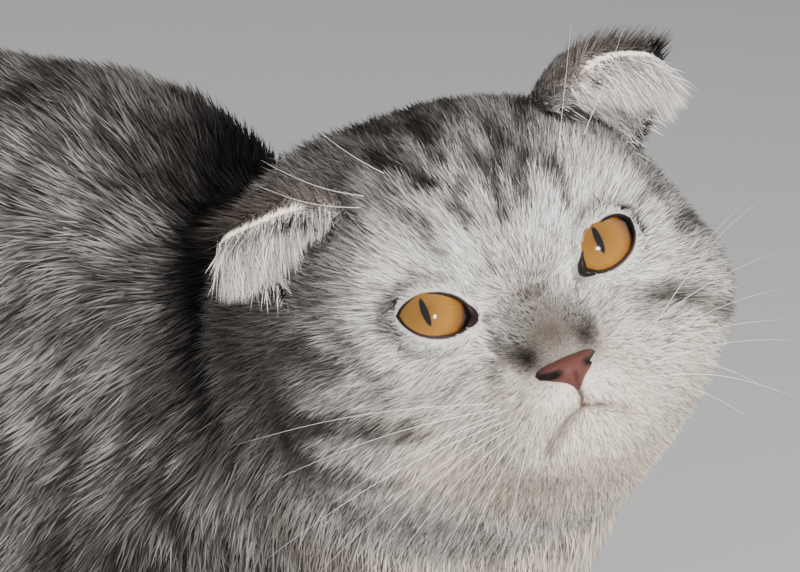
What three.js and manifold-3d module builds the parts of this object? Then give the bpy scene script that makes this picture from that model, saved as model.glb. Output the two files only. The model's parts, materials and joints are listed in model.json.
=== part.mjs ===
// A life-size Scottish Fold cat, lying on its chest with its head turned to its right,
// lifted and tilted. Lengths are millimetres and angles degrees. +X runs forward along
// the body, +Y is the cat's left and +Z is up; the cat lies on the plane Z 0. Every
// outline includes the coat.
import * as THREE from 'three';
import { mergeVertices } from 'three/addons/utils/BufferGeometryUtils.js';
import Module from 'manifold-3d';

const wasm = await Module();
wasm.setup();

// Driving dimensions
const HEAD = { at: [150, -28, 140], turn: -37, lift: 22.5, tilt: 18.1 };
const HEAD_WIDTH = 114;
const SKULL = { length: 94, width: 98, height: 84 };
const EYE = { radius: 10.5, forward: 27, aside: 20.2, up: 0 };
const EAR = { thick: 2.2, dome: 5, uneven: 2.5, along: 11, across: 5 };
const BACK_HEIGHT = 171;
const TRUNK_WIDTH = 150;
const RUMP_X = -205;
const PAW = { length: 46, width: 36, height: 30, toe: 8 };
const TAIL = { root: 19, tip: 11, steps: 24 };
const SQUASH = 2.2;
const GAP = 0.35;
const STEP = { head: 4.5, body: 8.5, tail: 6 };
const DETAIL = { head: 1.3, body: 3.6 };

// Colours of the silver coat, the bare skin and the eyes
const SILVER = 0xb4b1ad;
const CREAM = 0xd8d0c6;
const PINK = 0xb4786a;
const AMBER = 0xc58a3a;

const vector = (values) => new THREE.Vector3(...values);
const radians = THREE.MathUtils.degToRad;
const mirrored = (values, side) => [values[0], values[1] * side, values[2]];

/** Placement from a position and the angles turn (about Z), lift and tilt. */
function placement(at, turn = 0, lift = 0, tilt = 0) {
  const angles = new THREE.Euler(radians(tilt), radians(-lift), radians(turn), 'ZYX');
  const spin = new THREE.Quaternion().setFromEuler(angles);
  return new THREE.Matrix4().compose(vector(at), spin, new THREE.Vector3(1, 1, 1));
}

const headPlace = placement(HEAD.at, HEAD.turn, HEAD.lift, HEAD.tilt);
const inHead = (values) => vector(values).applyMatrix4(headPlace).toArray();

// Fields: each is a function of a point, negative inside and about a distance in size

/** Ellipsoid about a centre, with its own turn, lift and tilt. */
function egg(centre, radii, ...angles) {
  const inward = placement(centre, ...angles).invert();
  const [a, b, c] = radii;
  const q = new THREE.Vector3();
  return (p) => {
    q.copy(p).applyMatrix4(inward);
    const near = Math.hypot(q.x / a, q.y / b, q.z / c);
    const steep = Math.hypot(q.x / a ** 2, q.y / b ** 2, q.z / c ** 2);
    return steep < 1e-9 ? -Math.min(a, b, c) : (near * (near - 1)) / steep;
  };
}

/** Rod with round ends whose radius runs from one end's to the other's. */
function limb(from, to, fromRadius, toRadius) {
  const start = vector(from);
  const along = vector(to).sub(start);
  const squared = along.lengthSq();
  const q = new THREE.Vector3();
  return (p) => {
    q.copy(p).sub(start);
    const share = THREE.MathUtils.clamp(q.dot(along) / squared, 0, 1);
    q.addScaledVector(along, -share);
    return q.length() - THREE.MathUtils.lerp(fromRadius, toRadius, share);
  };
}

/** Fields joined with a fillet of the given size. */
function blended(fillet, ...fields) {
  return (p) => fields.reduce((joined, field) => {
    const other = field(p);
    const near = Math.max(fillet - Math.abs(joined - other), 0) / fillet;
    return Math.min(joined, other) - (near * near * fillet) / 4;
  }, Infinity);
}

/** The same field moved with a placement. */
function placed(field, place) {
  const inward = place.clone().invert();
  const q = new THREE.Vector3();
  return (p) => field(q.copy(p).applyMatrix4(inward));
}

const bothSides = (make) => [-1, 1].flatMap((side) => make(side));

/** Head in its own frame: X towards the nose, Y the cat's left, Z the crown. */
function headField() {
  const cheek = HEAD_WIDTH / 2;
  const skull = egg([-8, 0, 6], [SKULL.length / 2, SKULL.width / 2, SKULL.height / 2]);
  const sides = bothSides((side) => [
    egg([-3, side * (cheek - 32), -14], [36, 32, 28]),
    egg([-10, side * (cheek - 34), 8], [30, 28, 26]),
    egg([17, side * 19, 14], [15, 16, 14]),
    egg([15, side * 21, -10], [15, 17, 13]),
    egg([31, side * 8.5, -27], [12, 12, 10.5]),
  ]);
  const bridge = limb([23, 0, 8], [34, 0, -18], 13, 8.5);
  const chin = egg([28, 0, -37], [15, 15, 9]);
  return blended(9, skull, bridge, chin, ...sides);
}

/** Trunk, chest and shoulder blades. */
function trunkField() {
  const half = TRUNK_WIDTH / 2;
  const spine = BACK_HEIGHT - half;
  return blended(
    22,
    limb([-16, 0, spine - 3], [-82, 0, spine - 9], half - 2, half),
    egg([-30, 0, 56], [110, half - 2, 62]),
    egg([-130, 0, 70], [-RUMP_X - 130, half - 2, 76]),
    egg([98, 2, 68], [48, 56, 68]),
    ...bothSides((side) => egg([46, side * 28, 82], [42, 30, 42], 0, 20)),
  );
}

/** Neck, from the chest to the back of the head. */
function neckField() {
  return blended(
    16,
    limb([64, 0, 84], inHead([-22, 0, -6]), 52, 42),
    limb([112, 8, 84], inHead([4, 6, -22]), 48, 34),
    limb([72, -6, 106], inHead([-25, -20, 19]), 38, 30.5),
  );
}

/** Paw with its four toes, pointing along a heading. */
function pawField(centre, heading, side) {
  const { length, width, height, toe } = PAW;
  const toes = [-1.5, -0.5, 0.5, 1.5].map((place) => {
    const forward = length / 2 - toe + (Math.abs(place) < 1 ? 3 : 0);
    return egg([forward, place * (width / 4.4), -2], [toe + 3, toe - 0.5, toe + 2]);
  });
  const pad = egg([0, 0, 0], [length / 2, width / 2 - 2, height / 2]);
  return placed(blended(4, pad, ...toes), placement(centre, side * heading));
}

const foreleg = (side) => ({
  shoulder: egg([64, side * 46, 66], [34, 25, 52], 0, -24),
  forearm: limb([40, side * 60, 23], [126, side * 42, 17], 22, 17),
  paw: pawField([156, side * 39, 14], -4, side),
});

const hindleg = (side) => ({
  thigh: egg([-84, side * 62, 66], [80, 34, 60], side * -3, -10),
  foot: limb([-128, side * 76, 15], [-42, side * 83, 15], 15, 14),
  paw: pawField([-26, side * 84, 14], 3, side),
});

/** Tail, laid on the ground and curled round the cat's right side. */
function tailField() {
  const bends = [
    [-178, 4, 36], [-208, -38, 20], [-196, -92, 18], [-140, -124, 16],
    [-70, -130, 14], [-6, -122, 12],
  ];
  const curve = new THREE.CatmullRomCurve3(bends.map(vector));
  const thickness = (share) => THREE.MathUtils.lerp(TAIL.root, TAIL.tip, share);
  const links = Array.from({ length: TAIL.steps }, (_, i) => {
    const [from, to] = [i / TAIL.steps, (i + 1) / TAIL.steps];
    const ends = [from, to].map((share) => curve.getPointAt(share).toArray());
    return limb(...ends, thickness(from), thickness(to));
  });
  return { field: blended(2, ...links), curve };
}

// Surfaces and solids

/** Points and triangles where a field is zero, by surface nets on a cubic grid. */
function surfaceOf(field, low, high, step) {
  const counts = [0, 1, 2].map((axis) => Math.ceil((high[axis] - low[axis]) / step) + 1);
  const [nx, ny, nz] = counts;
  const at = (i, j, k) => i + nx * (j + ny * k);
  const values = new Float32Array(nx * ny * nz);
  const p = new THREE.Vector3();
  const corner = (i, j, k) => p.set(low[0] + i * step, low[1] + j * step, low[2] + k * step);
  const onBorder = (...cell) => cell.some((n, axis) => n === 0 || n === counts[axis] - 1);
  for (let k = 0; k < nz; k += 1) {
    for (let j = 0; j < ny; j += 1) {
      for (let i = 0; i < nx; i += 1) {
        const value = field(corner(i, j, k));
        values[at(i, j, k)] = onBorder(i, j, k) ? Math.max(value, step / 2) : value;
      }
    }
  }
  const positions = [];
  const cellPoint = new Int32Array(nx * ny * nz).fill(-1);
  for (let k = 0; k < nz - 1; k += 1) {
    for (let j = 0; j < ny - 1; j += 1) {
      for (let i = 0; i < nx - 1; i += 1) {
        const mean = crossingMean(values, at, i, j, k);
        if (mean) {
          cellPoint[at(i, j, k)] = positions.length / 3;
          positions.push(...mean.map((v, axis) => low[axis] + v * step));
        }
      }
    }
  }
  return geometryOf(positions, gridFaces(values, cellPoint, positions, counts, at));
}

const CUBE_EDGES = [0, 1, 2].flatMap((axis) => [[0, 0], [0, 1], [1, 0], [1, 1]].map((offsets) => {
  const from = [offsets[0], offsets[1]];
  from.splice(axis, 0, 0);
  const to = [...from];
  to[axis] = 1;
  return [from, to];
}));

/** Mean of the points where a grid cell's edges cross zero, or null. */
function crossingMean(values, at, i, j, k) {
  const sum = [0, 0, 0];
  let crossings = 0;
  for (const [from, to] of CUBE_EDGES) {
    const a = values[at(i + from[0], j + from[1], k + from[2])];
    const b = values[at(i + to[0], j + to[1], k + to[2])];
    if (a < 0 !== b < 0) {
      const share = a / (a - b);
      sum[0] += i + from[0] + share * (to[0] - from[0]);
      sum[1] += j + from[1] + share * (to[1] - from[1]);
      sum[2] += k + from[2] + share * (to[2] - from[2]);
      crossings += 1;
    }
  }
  return crossings ? sum.map((v) => v / crossings) : null;
}

/** Triangles round every grid edge that crosses zero, facing outward. */
function gridFaces(values, cellPoint, positions, counts, at) {
  const faces = [];
  const apart = (a, b) => [0, 1, 2].reduce(
    (sum, axis) => sum + (positions[3 * a + axis] - positions[3 * b + axis]) ** 2, 0);
  const addQuad = (ring) => {
    const [a, b, c, d] = ring;
    if (apart(a, c) < apart(b, d)) faces.push(a, b, c, a, c, d);
    else faces.push(a, b, d, b, c, d);
  };
  for (let k = 0; k < counts[2] - 1; k += 1) {
    for (let j = 0; j < counts[1] - 1; j += 1) {
      for (let i = 0; i < counts[0] - 1; i += 1) {
        const inside = values[at(i, j, k)] < 0;
        for (let axis = 0; axis < 3; axis += 1) {
          const next = [i, j, k];
          next[axis] += 1;
          if (inside !== values[at(...next)] < 0) {
            const ring = [[-1, -1], [0, -1], [0, 0], [-1, 0]].map((offsets) => {
              const cell = [i, j, k];
              cell[(axis + 1) % 3] += offsets[0];
              cell[(axis + 2) % 3] += offsets[1];
              return cellPoint[at(...cell)];
            });
            addQuad(inside ? ring : ring.reverse());
          }
        }
      }
    }
  }
  return faces;
}

function geometryOf(positions, faces) {
  const geometry = new THREE.BufferGeometry();
  geometry.setAttribute('position', new THREE.Float32BufferAttribute(positions, 3));
  geometry.setIndex(faces);
  return geometry;
}

/** Solid from a closed geometry, for cutting and joining. */
function solidOf(geometry, place = new THREE.Matrix4()) {
  const bare = geometry.clone().applyMatrix4(place);
  bare.deleteAttribute('normal');
  bare.deleteAttribute('uv');
  const merged = mergeVertices(bare, 1e-4);
  return new wasm.Manifold(new wasm.Mesh({
    numProp: 3,
    vertProperties: new Float32Array(merged.attributes.position.array),
    triVerts: new Uint32Array(merged.index.array),
  }));
}

/** Ellipsoid solid, grown by a margin. */
function eggSolid(centre, radii, angles = [], grow = 0, rings = 10) {
  const ball = new THREE.SphereGeometry(1, 2 * rings, rings);
  ball.scale(...radii.map((radius) => radius + grow));
  return solidOf(ball, placement(centre, ...angles));
}

/** Rod solid with round ends, grown by a margin. */
function rodSolid(from, to, radius, grow = 0) {
  const [start, end] = [vector(from), vector(to)];
  const along = end.clone().sub(start);
  const rod = new THREE.CapsuleGeometry(radius + grow, along.length(), 4, 14);
  const spin = new THREE.Quaternion().setFromUnitVectors(
    new THREE.Vector3(0, 1, 0), along.clone().normalize());
  const middle = start.add(end).divideScalar(2);
  return solidOf(rod, new THREE.Matrix4().compose(middle, spin, new THREE.Vector3(1, 1, 1)));
}

/** Box solid between two corners, grown by a margin. */
function boxSolid(low, high, grow = 0) {
  const sizes = low.map((value, axis) => high[axis] - value + 2 * grow);
  const middle = low.map((value, axis) => (value + high[axis]) / 2);
  return solidOf(new THREE.BoxGeometry(...sizes), placement(middle));
}

/** Everything above the plane that the cat's weight squashes its underside to. */
const aboveGround = () => boxSolid([-400, -400, SQUASH], [400, 400, 400]);

const largest = (solid) => solid.decompose()
  .reduce((best, body) => (body.volume() > best.volume() ? body : best));

/** Cuts named pieces from a solid, each with a thin gap, and returns them and the rest. */
function parted(whole, regions) {
  const pieces = {};
  let rest = whole;
  for (const [name, region] of regions) {
    pieces[name] = largest(rest.intersect(region(0)));
    rest = rest.subtract(region(GAP));
  }
  return { pieces, rest: largest(rest) };
}

// The ear: a scoop from its base on the skull to its rim, open forward and down

/** Point of a closed run of bends, with the share from 0 to 1. */
function smoothRun(points) {
  return new THREE.CatmullRomCurve3(points.map(vector), false, 'centripetal');
}

/** Solid of one ear in the head's frame. */
function earSolid(side) {
  const run = (bends) => smoothRun(bends
    .map(([x, y, z, share]) => [x, side * y, z + side * share * EAR.uneven]));
  const base = run([[21, 30.5, 34, 1], [12, 30, 38, 0.6], [-5, 31, 38, 0], [-9, 42, 30, 0],
    [6, 50, 19, 0]]);
  const rim = run([[21, 30.5, 34, 1], [20, 38, 37, 1], [18, 46.5, 37.5, 1],
    [13.5, 57, 34.8, 0.3], [10, 53.5, 28, 0], [6, 50, 19, 0]]);
  const hollow = vector(mirrored([10, 42, 27], side));
  const outer = [];
  const inner = [];
  for (let i = 0; i <= EAR.along; i += 1) {
    const share = i / EAR.along;
    const foot = base.getPoint(share);
    const edge = rim.getPoint(share);
    for (let j = 0; j <= EAR.across; j += 1) {
      const rise = j / EAR.across;
      const point = foot.clone().lerp(edge, rise);
      const away = point.clone().sub(hollow).normalize();
      const swell = EAR.dome * Math.sin(Math.PI * rise ** 0.8) * Math.sin(Math.PI * share);
      point.addScaledVector(away, swell);
      outer.push(point);
      inner.push(point.clone().addScaledVector(away, -EAR.thick));
    }
  }
  const row = EAR.across + 1;
  const count = outer.length;
  const faces = [];
  const quad = (a, b, c, d) => faces.push(a, b, c, a, c, d);
  for (let i = 0; i < EAR.along; i += 1) {
    for (let j = 0; j < EAR.across; j += 1) {
      const a = i * row + j;
      quad(a, a + 1, a + row + 1, a + row);
      quad(count + a, count + a + row, count + a + row + 1, count + a + 1);
    }
    for (const [edge, flip] of [[0, false], [EAR.across, true]]) {
      const a = i * row + edge;
      if (flip) quad(a, count + a, count + a + row, a + row);
      else quad(a, a + row, count + a + row, count + a);
    }
  }
  for (let j = 0; j < EAR.across; j += 1) {
    const last = EAR.along * row + j;
    quad(j, count + j, count + j + 1, j + 1);
    quad(last, last + 1, count + last + 1, count + last);
  }
  if (side < 0) faces.reverse();
  const positions = [...outer, ...inner].flatMap((point) => point.toArray());
  return solidOf(geometryOf(positions, faces), headPlace);
}

// Building

const head = placed(headField(), headPlace);
const forelegs = { left: foreleg(1), right: foreleg(-1) };
const hindlegs = { left: hindleg(1), right: hindleg(-1) };
const limbs = [...Object.values(forelegs), ...Object.values(hindlegs)]
  .map((leg) => blended(10, ...Object.values(leg)));
const body = blended(7, blended(18, trunkField(), neckField()), ...limbs);
const cat = blended(12, body, head);

/** Flesh of the cat as a solid, on a grid of one step, less any detail below a tolerance. */
const fleshSolid = (low, high, step, detail) => largest(
  solidOf(surfaceOf(cat, low, high, step)).simplify(detail).intersect(aboveGround()));

/** Solid swollen about a point, so that its surface moves by about the gap. */
function swollen(solid, centre, reach) {
  const away = centre.map((value) => -value);
  return solid.translate(away).scale(1 + (1.5 * GAP) / reach).translate(centre);
}

const headRadii = [70, 74, 62];
const headAngles = [HEAD.turn, HEAD.lift, HEAD.tilt];
const headCentre = inHead([-4, 0, 1]);
const headRegion = (grow) => eggSolid(headCentre, headRadii, headAngles, grow, 14);

const eyeCentre = (side) => inHead([EYE.forward, side * EYE.aside, EYE.up]);
const eyeball = (side, grow = 0) => eggSolid(
  eyeCentre(side), [EYE.radius, EYE.radius, EYE.radius], headAngles, grow, 10);

const noseRadii = [4.5, 6.5, 5];
const nosePad = (grow) => eggSolid(inHead([42.4, 0, -21.5]), noseRadii, headAngles, grow, 8);

const sides = { left: 1, right: -1 };
const nodes = new Map();
const addNode = (name, solid, color, roughness = 0.9) => nodes.set(
  name, { solid: largest(solid.simplify(GAP / 4)), color, roughness });

const headBlock = [[70, -120, 60], [226, 60, 226]];
const headSolid = fleshSolid(...headBlock, STEP.head, DETAIL.head);
const headSwollen = swollen(headSolid, headCentre, 45);
let skull = largest(headSolid.intersect(headRegion(0)));
for (const side of Object.values(sides)) skull = skull.subtract(eyeball(side, GAP));
addNode('head', largest(skull.subtract(nosePad(GAP))), SILVER);
addNode('nose', nosePad(0), PINK, 0.6);
for (const [name, side] of Object.entries(sides)) {
  addNode(`eye_${name}`, eyeball(side), AMBER, 0.05);
  addNode(`ear_${name}`, largest(earSolid(side).subtract(headSwollen)), CREAM);
}

const bodyBlock = [[-230, -115, -12], [230, 115, 210]];
const wholeBody = fleshSolid(...bodyBlock, STEP.body, DETAIL.body);
const bodySolid = largest(wholeBody.subtract(headRegion(GAP)));
const regions = [['neck', (grow) => eggSolid([100, -8, 122], [56, 64, 50], [0, 25], grow)]];
for (const [name, side] of Object.entries(sides)) {
  regions.push(
    [`forepaw_${name}`, (grow) => eggSolid(
      [164, side * 38, 12], [31, 27, 24], [side * -4], grow)],
    [`forearm_${name}`, (grow) => rodSolid(
      [40, side * 62, 20], [146, side * 40, 16], 25, grow)],
    [`shoulder_${name}`, (grow) => eggSolid(
      [62, side * 66, 70], [42, 36, 62], [0, -24], grow)],
    [`hindpaw_${name}`, (grow) => rodSolid(
      [-128, side * 80, 13], [-14, side * 86, 13], 21, grow)],
    [`thigh_${name}`, (grow) => eggSolid(
      [-86, side * 76, 70], [84, 38, 64], [side * -3, -10], grow)],
  );
}
const { pieces, rest } = parted(bodySolid, regions);
for (const [name, solid] of Object.entries(pieces)) addNode(name, solid, SILVER);
addNode('trunk', rest, SILVER);

const tail = tailField();
const tailSolid = solidOf(surfaceOf(tail.field, [-250, -170, -14], [40, 60, 70], STEP.tail))
  .simplify(DETAIL.body)
  .intersect(aboveGround())
  .subtract(swollen(wholeBody, [-40, 0, 80], 90));
const cutAt = (share) => {
  const heading = tail.curve.getTangentAt(share);
  const slab = new THREE.BoxGeometry(GAP, 80, 160);
  const turn = THREE.MathUtils.radToDeg(Math.atan2(heading.y, heading.x));
  return solidOf(slab, placement(tail.curve.getPointAt(share).toArray(), turn));
};
const lengths = largest(tailSolid).subtract(cutAt(0.36)).subtract(cutAt(0.68)).decompose()
  .sort((a, b) => b.volume() - a.volume()).slice(0, 3)
  .sort((a, b) => a.boundingBox().max[0] - b.boundingBox().max[0]);
['tail_root', 'tail_middle', 'tail_tip'].forEach((name, i) => addNode(name, lengths[i], SILVER));

/** Draws vertices that share one place apart, each a little way into its own material. */
function unpinch(geometry) {
  const { position, normal } = geometry.attributes;
  const sharing = new Map();
  for (let i = 0; i < position.count; i += 1) {
    const place = [position.getX(i), position.getY(i), position.getZ(i)];
    const key = place.map((value) => value.toFixed(3)).join();
    sharing.set(key, [...(sharing.get(key) ?? []), i]);
  }
  const inward = GAP / 6;
  for (const group of [...sharing.values()].filter((indices) => indices.length > 1)) {
    for (const i of group) {
      position.setXYZ(i, position.getX(i) - inward * normal.getX(i),
        position.getY(i) - inward * normal.getY(i), position.getZ(i) - inward * normal.getZ(i));
    }
  }
}

/** Named mesh of a solid in its own material. */
function meshOf(name, { solid, color, roughness }) {
  const { numProp, numVert, vertProperties, triVerts } = solid.getMesh();
  const positions = Array.from({ length: numVert }, (_, i) => [0, 1, 2].map(
    (axis) => vertProperties[i * numProp + axis])).flat();
  const geometry = geometryOf(positions, Array.from(triVerts));
  geometry.computeVertexNormals();
  unpinch(geometry);
  const material = new THREE.MeshStandardMaterial({ color, roughness, metalness: 0 });
  const mesh = new THREE.Mesh(geometry, material);
  mesh.name = name;
  return mesh;
}

const model = new THREE.Group();
for (const [name, node] of nodes) model.add(meshOf(name, node));

// The origin is under the middle of the whole outline, on the ground
const outline = new THREE.Box3().setFromObject(model);
const middle = outline.getCenter(new THREE.Vector3());
model.position.set(-middle.x, -middle.y, -outline.min.z);

export default model;
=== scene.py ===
"""Looks of a life-size silver tabby Scottish Fold cat, lying with its head turned and lifted.

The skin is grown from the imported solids, sunk by the depth of the coat and sculpted at the
lids, the mouth and the muzzle. The coat is solid locks rooted on that skin. Skin and coat
take their colour from one set of markings. Lengths in the classes are millimetres.
"""

import itertools
import json
import logging
import math
from collections.abc import Callable
from dataclasses import dataclass, field
from enum import Enum

import bpy
import numpy as np
from mathutils import Matrix, Vector

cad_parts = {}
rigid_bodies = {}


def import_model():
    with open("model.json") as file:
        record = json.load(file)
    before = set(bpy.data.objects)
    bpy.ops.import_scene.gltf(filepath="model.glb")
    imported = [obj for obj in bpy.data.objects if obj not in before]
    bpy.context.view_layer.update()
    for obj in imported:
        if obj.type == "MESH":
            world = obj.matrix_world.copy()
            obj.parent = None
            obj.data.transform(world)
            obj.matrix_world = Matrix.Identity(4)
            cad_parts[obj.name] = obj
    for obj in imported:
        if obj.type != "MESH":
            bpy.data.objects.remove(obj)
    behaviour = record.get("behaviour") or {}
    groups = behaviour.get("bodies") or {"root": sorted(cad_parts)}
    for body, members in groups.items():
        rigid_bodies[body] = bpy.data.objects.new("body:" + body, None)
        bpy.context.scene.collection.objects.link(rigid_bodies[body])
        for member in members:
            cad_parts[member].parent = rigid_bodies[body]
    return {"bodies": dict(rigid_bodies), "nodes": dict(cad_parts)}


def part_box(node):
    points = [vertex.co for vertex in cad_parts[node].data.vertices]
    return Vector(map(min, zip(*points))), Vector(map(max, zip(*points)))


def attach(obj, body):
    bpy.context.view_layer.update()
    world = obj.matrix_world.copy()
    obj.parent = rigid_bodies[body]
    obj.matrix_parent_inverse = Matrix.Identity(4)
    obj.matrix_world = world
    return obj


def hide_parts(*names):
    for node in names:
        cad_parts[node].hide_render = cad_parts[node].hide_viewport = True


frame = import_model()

LOG = logging.getLogger("cat")
MM = 0.001
UNWRAP = "OFBake"
TINT = "Coat"
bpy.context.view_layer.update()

FLESH = (
    "head", "neck", "trunk", "shoulder_left", "shoulder_right", "forearm_left",
    "forearm_right", "forepaw_left", "forepaw_right", "thigh_left", "thigh_right",
    "hindpaw_left", "hindpaw_right", "tail_root", "tail_middle", "tail_tip",
)


class Side(Enum):
    """A side of the cat, as the sign of Y."""

    LEFT = 1
    RIGHT = -1

    @property
    def word(self) -> str:
        """The side's name in lower case."""
        return self.name.lower()


def ramp(value: np.ndarray, low: float, high: float) -> np.ndarray:
    """Smooth step.

    Args:
        value: the values to grade.
        low: the value that gives 0.
        high: the value that gives 1.

    Returns:
        Values from 0 to 1.
    """
    share = np.clip((value - low) / (high - low), 0.0, 1.0)
    return share * share * (3.0 - 2.0 * share)


def unit(vectors: np.ndarray) -> np.ndarray:
    """The vectors at length 1."""
    return vectors / np.maximum(np.linalg.norm(vectors, axis=-1, keepdims=True), 1e-9)


def cloud(points: np.ndarray, seed: int) -> np.ndarray:
    """Smooth random values with one cell to a unit.

    Args:
        points: places, in cells.
        seed: which of many clouds.

    Returns:
        Values from 0 to 1, one for each place.
    """
    cell = np.floor(points).astype(np.int64)
    part = points - cell
    part = part * part * (3.0 - 2.0 * part)
    total = np.zeros(len(points))
    for corner in itertools.product((0, 1), repeat=3):
        at = cell + np.array(corner)
        mixed = (at[:, 0] * 73856093) ^ (at[:, 1] * 19349663) ^ (at[:, 2] * 83492791)
        mixed = (mixed ^ (seed * 2654435)) & 0xFFFFFFFF
        mixed = ((mixed ^ (mixed >> 13)) * 1274126177) & 0xFFFFFFFF
        value = ((mixed ^ (mixed >> 16)) & 0xFFFF) / 65535.0
        weight = np.prod(np.where(np.array(corner) == 1, part, 1.0 - part), axis=1)
        total += weight * value
    return total


def surface_gap(head: np.ndarray, place: np.ndarray, depth: float = 7.0) -> np.ndarray:
    """Distances from points to a place, leaving out a depth towards the head's middle.

    Args:
        head: points in the head's axes.
        place: one place, or one for each point.
        depth: how much of the way towards the middle is left out.

    Returns:
        Distances in millimetres.
    """
    ray = unit(head)
    gap = head - place
    inward = np.clip(np.sum(gap * ray, axis=1, keepdims=True), -depth, depth)
    return np.linalg.norm(gap - ray * inward, axis=1)


def linear(red: float, green: float, blue: float) -> np.ndarray:
    """Scene-linear colour of display values from 0 to 255."""
    share = np.array([red, green, blue]) / 255.0
    return np.where(share <= 0.04045, share / 12.92, ((share + 0.055) / 1.055) ** 2.4)


def mouth_line(y: np.ndarray) -> np.ndarray:
    """Height of the shut mouth's line at places across the head, in the head's axes."""
    return -30.4 - 4.6 * (np.abs(y) / 10.0) ** 1.4


def mirrored(place: tuple[float, float, float], side: Side) -> tuple[float, float, float]:
    """A place or direction that is given for the left side, on either side."""
    return place[0], side.value * place[1], place[2]


@dataclass(frozen=True)
class Pose:
    """Where the head sits on the model and how it is turned, in degrees and millimetres."""

    turn: float = -37.0
    lift: float = 22.5
    tilt: float = 18.1
    head_at: tuple[float, float, float] = (150.0, -28.0, 140.0)
    eye: tuple[float, float, float] = (27.0, 20.2, 0.0)

    @property
    def turned(self) -> np.ndarray:
        """Rotation from the head's own axes to the model's."""
        angles = (math.radians(self.turn), math.radians(-self.lift), math.radians(self.tilt))
        spin = (
            Matrix.Rotation(angles[0], 3, "Z")
            @ Matrix.Rotation(angles[1], 3, "Y")
            @ Matrix.Rotation(angles[2], 3, "X")
        )
        return np.array(spin)

    @property
    def head_origin(self) -> np.ndarray:
        """The head's own origin in the model, in millimetres, from the eyes' solids."""
        centres = [sum(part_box(f"eye_{side.word}"), Vector()) / 2 for side in Side]
        middle = np.mean(np.array(centres), axis=0) / MM
        return middle - self.turned @ np.array([self.eye[0], 0.0, self.eye[2]])

    @property
    def shift(self) -> np.ndarray:
        """From the body's own measures, with X 0 behind the shoulders, to the model's."""
        return self.head_origin - np.array(self.head_at)

    def to_head(self, points: np.ndarray) -> np.ndarray:
        """Points of the model in the head's own axes, in millimetres."""
        return (points / MM - self.head_origin) @ self.turned

    def from_head(self, points: np.ndarray) -> np.ndarray:
        """Points in the head's own axes, placed in the model in metres."""
        return (np.asarray(points, float) @ self.turned.T + self.head_origin) * MM

    def to_body(self, points: np.ndarray) -> np.ndarray:
        """Points of the model in the body's own measures, in millimetres."""
        return points / MM - self.shift

    def headness(self, head: np.ndarray) -> np.ndarray:
        """How far points in the head's axes belong to the head, from 0 to 1."""
        reach = np.linalg.norm((head - [-2.0, 0.0, 0.0]) / [62.0, 70.0, 60.0], axis=1)
        return 1.0 - ramp(reach, 0.92, 1.12)


POSE = Pose()


@dataclass(frozen=True)
class Fissure:
    """Opening between an eye's lids, on the ball, about the eye's own axis."""

    ball: float = 10.5
    outward: float = 9.0
    slant: float = 24.0
    half_length: float = 9.3
    above: float = 4.9
    below: float = 4.4

    def axes(self, side: Side) -> np.ndarray:
        """Rows: the opening's forward, outward along its length, and up, in the head's axes."""
        yaw, slant = math.radians(self.outward), math.radians(self.slant)
        forward = np.array([math.cos(yaw), math.sin(yaw) * side.value, 0.0])
        outward = np.array([-math.sin(yaw), math.cos(yaw) * side.value, 0.0])
        up = np.array([0.0, 0.0, 1.0])
        along = outward * math.cos(slant) + up * math.sin(slant)
        across = up * math.cos(slant) - outward * math.sin(slant)
        return np.array([forward, along, across])

    def centre(self, side: Side) -> np.ndarray:
        """Middle of the ball in the head's axes."""
        return np.array(mirrored(POSE.eye, side))

    def lids(self, along: np.ndarray) -> tuple[np.ndarray, np.ndarray]:
        """Heights of the upper and the lower lid at places along the opening."""
        share = np.clip(np.abs(along) / self.half_length, 0.0, 1.0)
        arch = np.clip(1.0 - share**2.3, 0.0, 1.0)
        return self.above * arch**0.8, -self.below * arch**0.9

    def outside(self, head: np.ndarray, side: Side) -> tuple[np.ndarray, np.ndarray]:
        """How far points stand outside the opening.

        Args:
            head: points in the head's axes.
            side: which eye.

        Returns:
            Distances on the ball in millimetres, negative inside the opening and large
            behind the ball, and the points' distances from the ball's middle.
        """
        ray = head - self.centre(side)
        reach = np.linalg.norm(ray, axis=1)
        forward, along, across = (unit(ray) @ self.axes(side).T).T
        bend = self.ball * np.arccos(np.clip(forward, -1.0, 1.0))
        spread = np.maximum(np.hypot(along, across), 1e-6)
        u, v = along / spread * bend, across / spread * bend
        upper, lower = self.lids(u)
        gap = np.maximum(v - upper, lower - v) * 0.85
        past = np.maximum(np.abs(u) - self.half_length, 0.0)
        beyond = np.where(past > 0, np.hypot(past, v), gap)
        return beyond, reach

    def rim(self, side: Side, count: int, height: float) -> np.ndarray:
        """Closed run of points along the lids' edge.

        Args:
            side: which eye.
            count: how many points.
            height: how far above the ball they stand.

        Returns:
            Points in the head's axes.
        """
        turn = np.linspace(0.0, 2.0 * math.pi, count, endpoint=False)
        u = self.half_length * np.cos(turn)
        upper, lower = self.lids(u)
        v = np.where(np.sin(turn) >= 0, upper, lower)
        bend = np.hypot(u, v)
        angle = bend / self.ball
        spread = np.maximum(bend, 1e-6)
        local = np.stack(
            [np.cos(angle), u / spread * np.sin(angle), v / spread * np.sin(angle)], axis=1
        )
        return self.centre(side) + (self.ball + height) * (local @ self.axes(side))


FISSURE = Fissure()


@dataclass(frozen=True)
class Streak:
    """Dark line of the coat, as bends in the head's axes."""

    bends: tuple[tuple[float, float, float], ...]
    wide: float = 1.5
    dark: float = 0.8

    def cover(self, head: np.ndarray) -> np.ndarray:
        """How much of the streak covers points in the head's axes, from 0 to 1."""
        nearest = np.full(len(head), 1e9)
        for start, end in itertools.pairwise(self.bends):
            a, way = np.array(start), np.array(end) - np.array(start)
            share = np.clip((head - a) @ way / (way @ way), 0.0, 1.0)
            nearest = np.minimum(nearest, surface_gap(head, a + share[:, None] * way))
        return self.dark * (1.0 - ramp(nearest, self.wide * 0.4, self.wide * 1.8))


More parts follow.
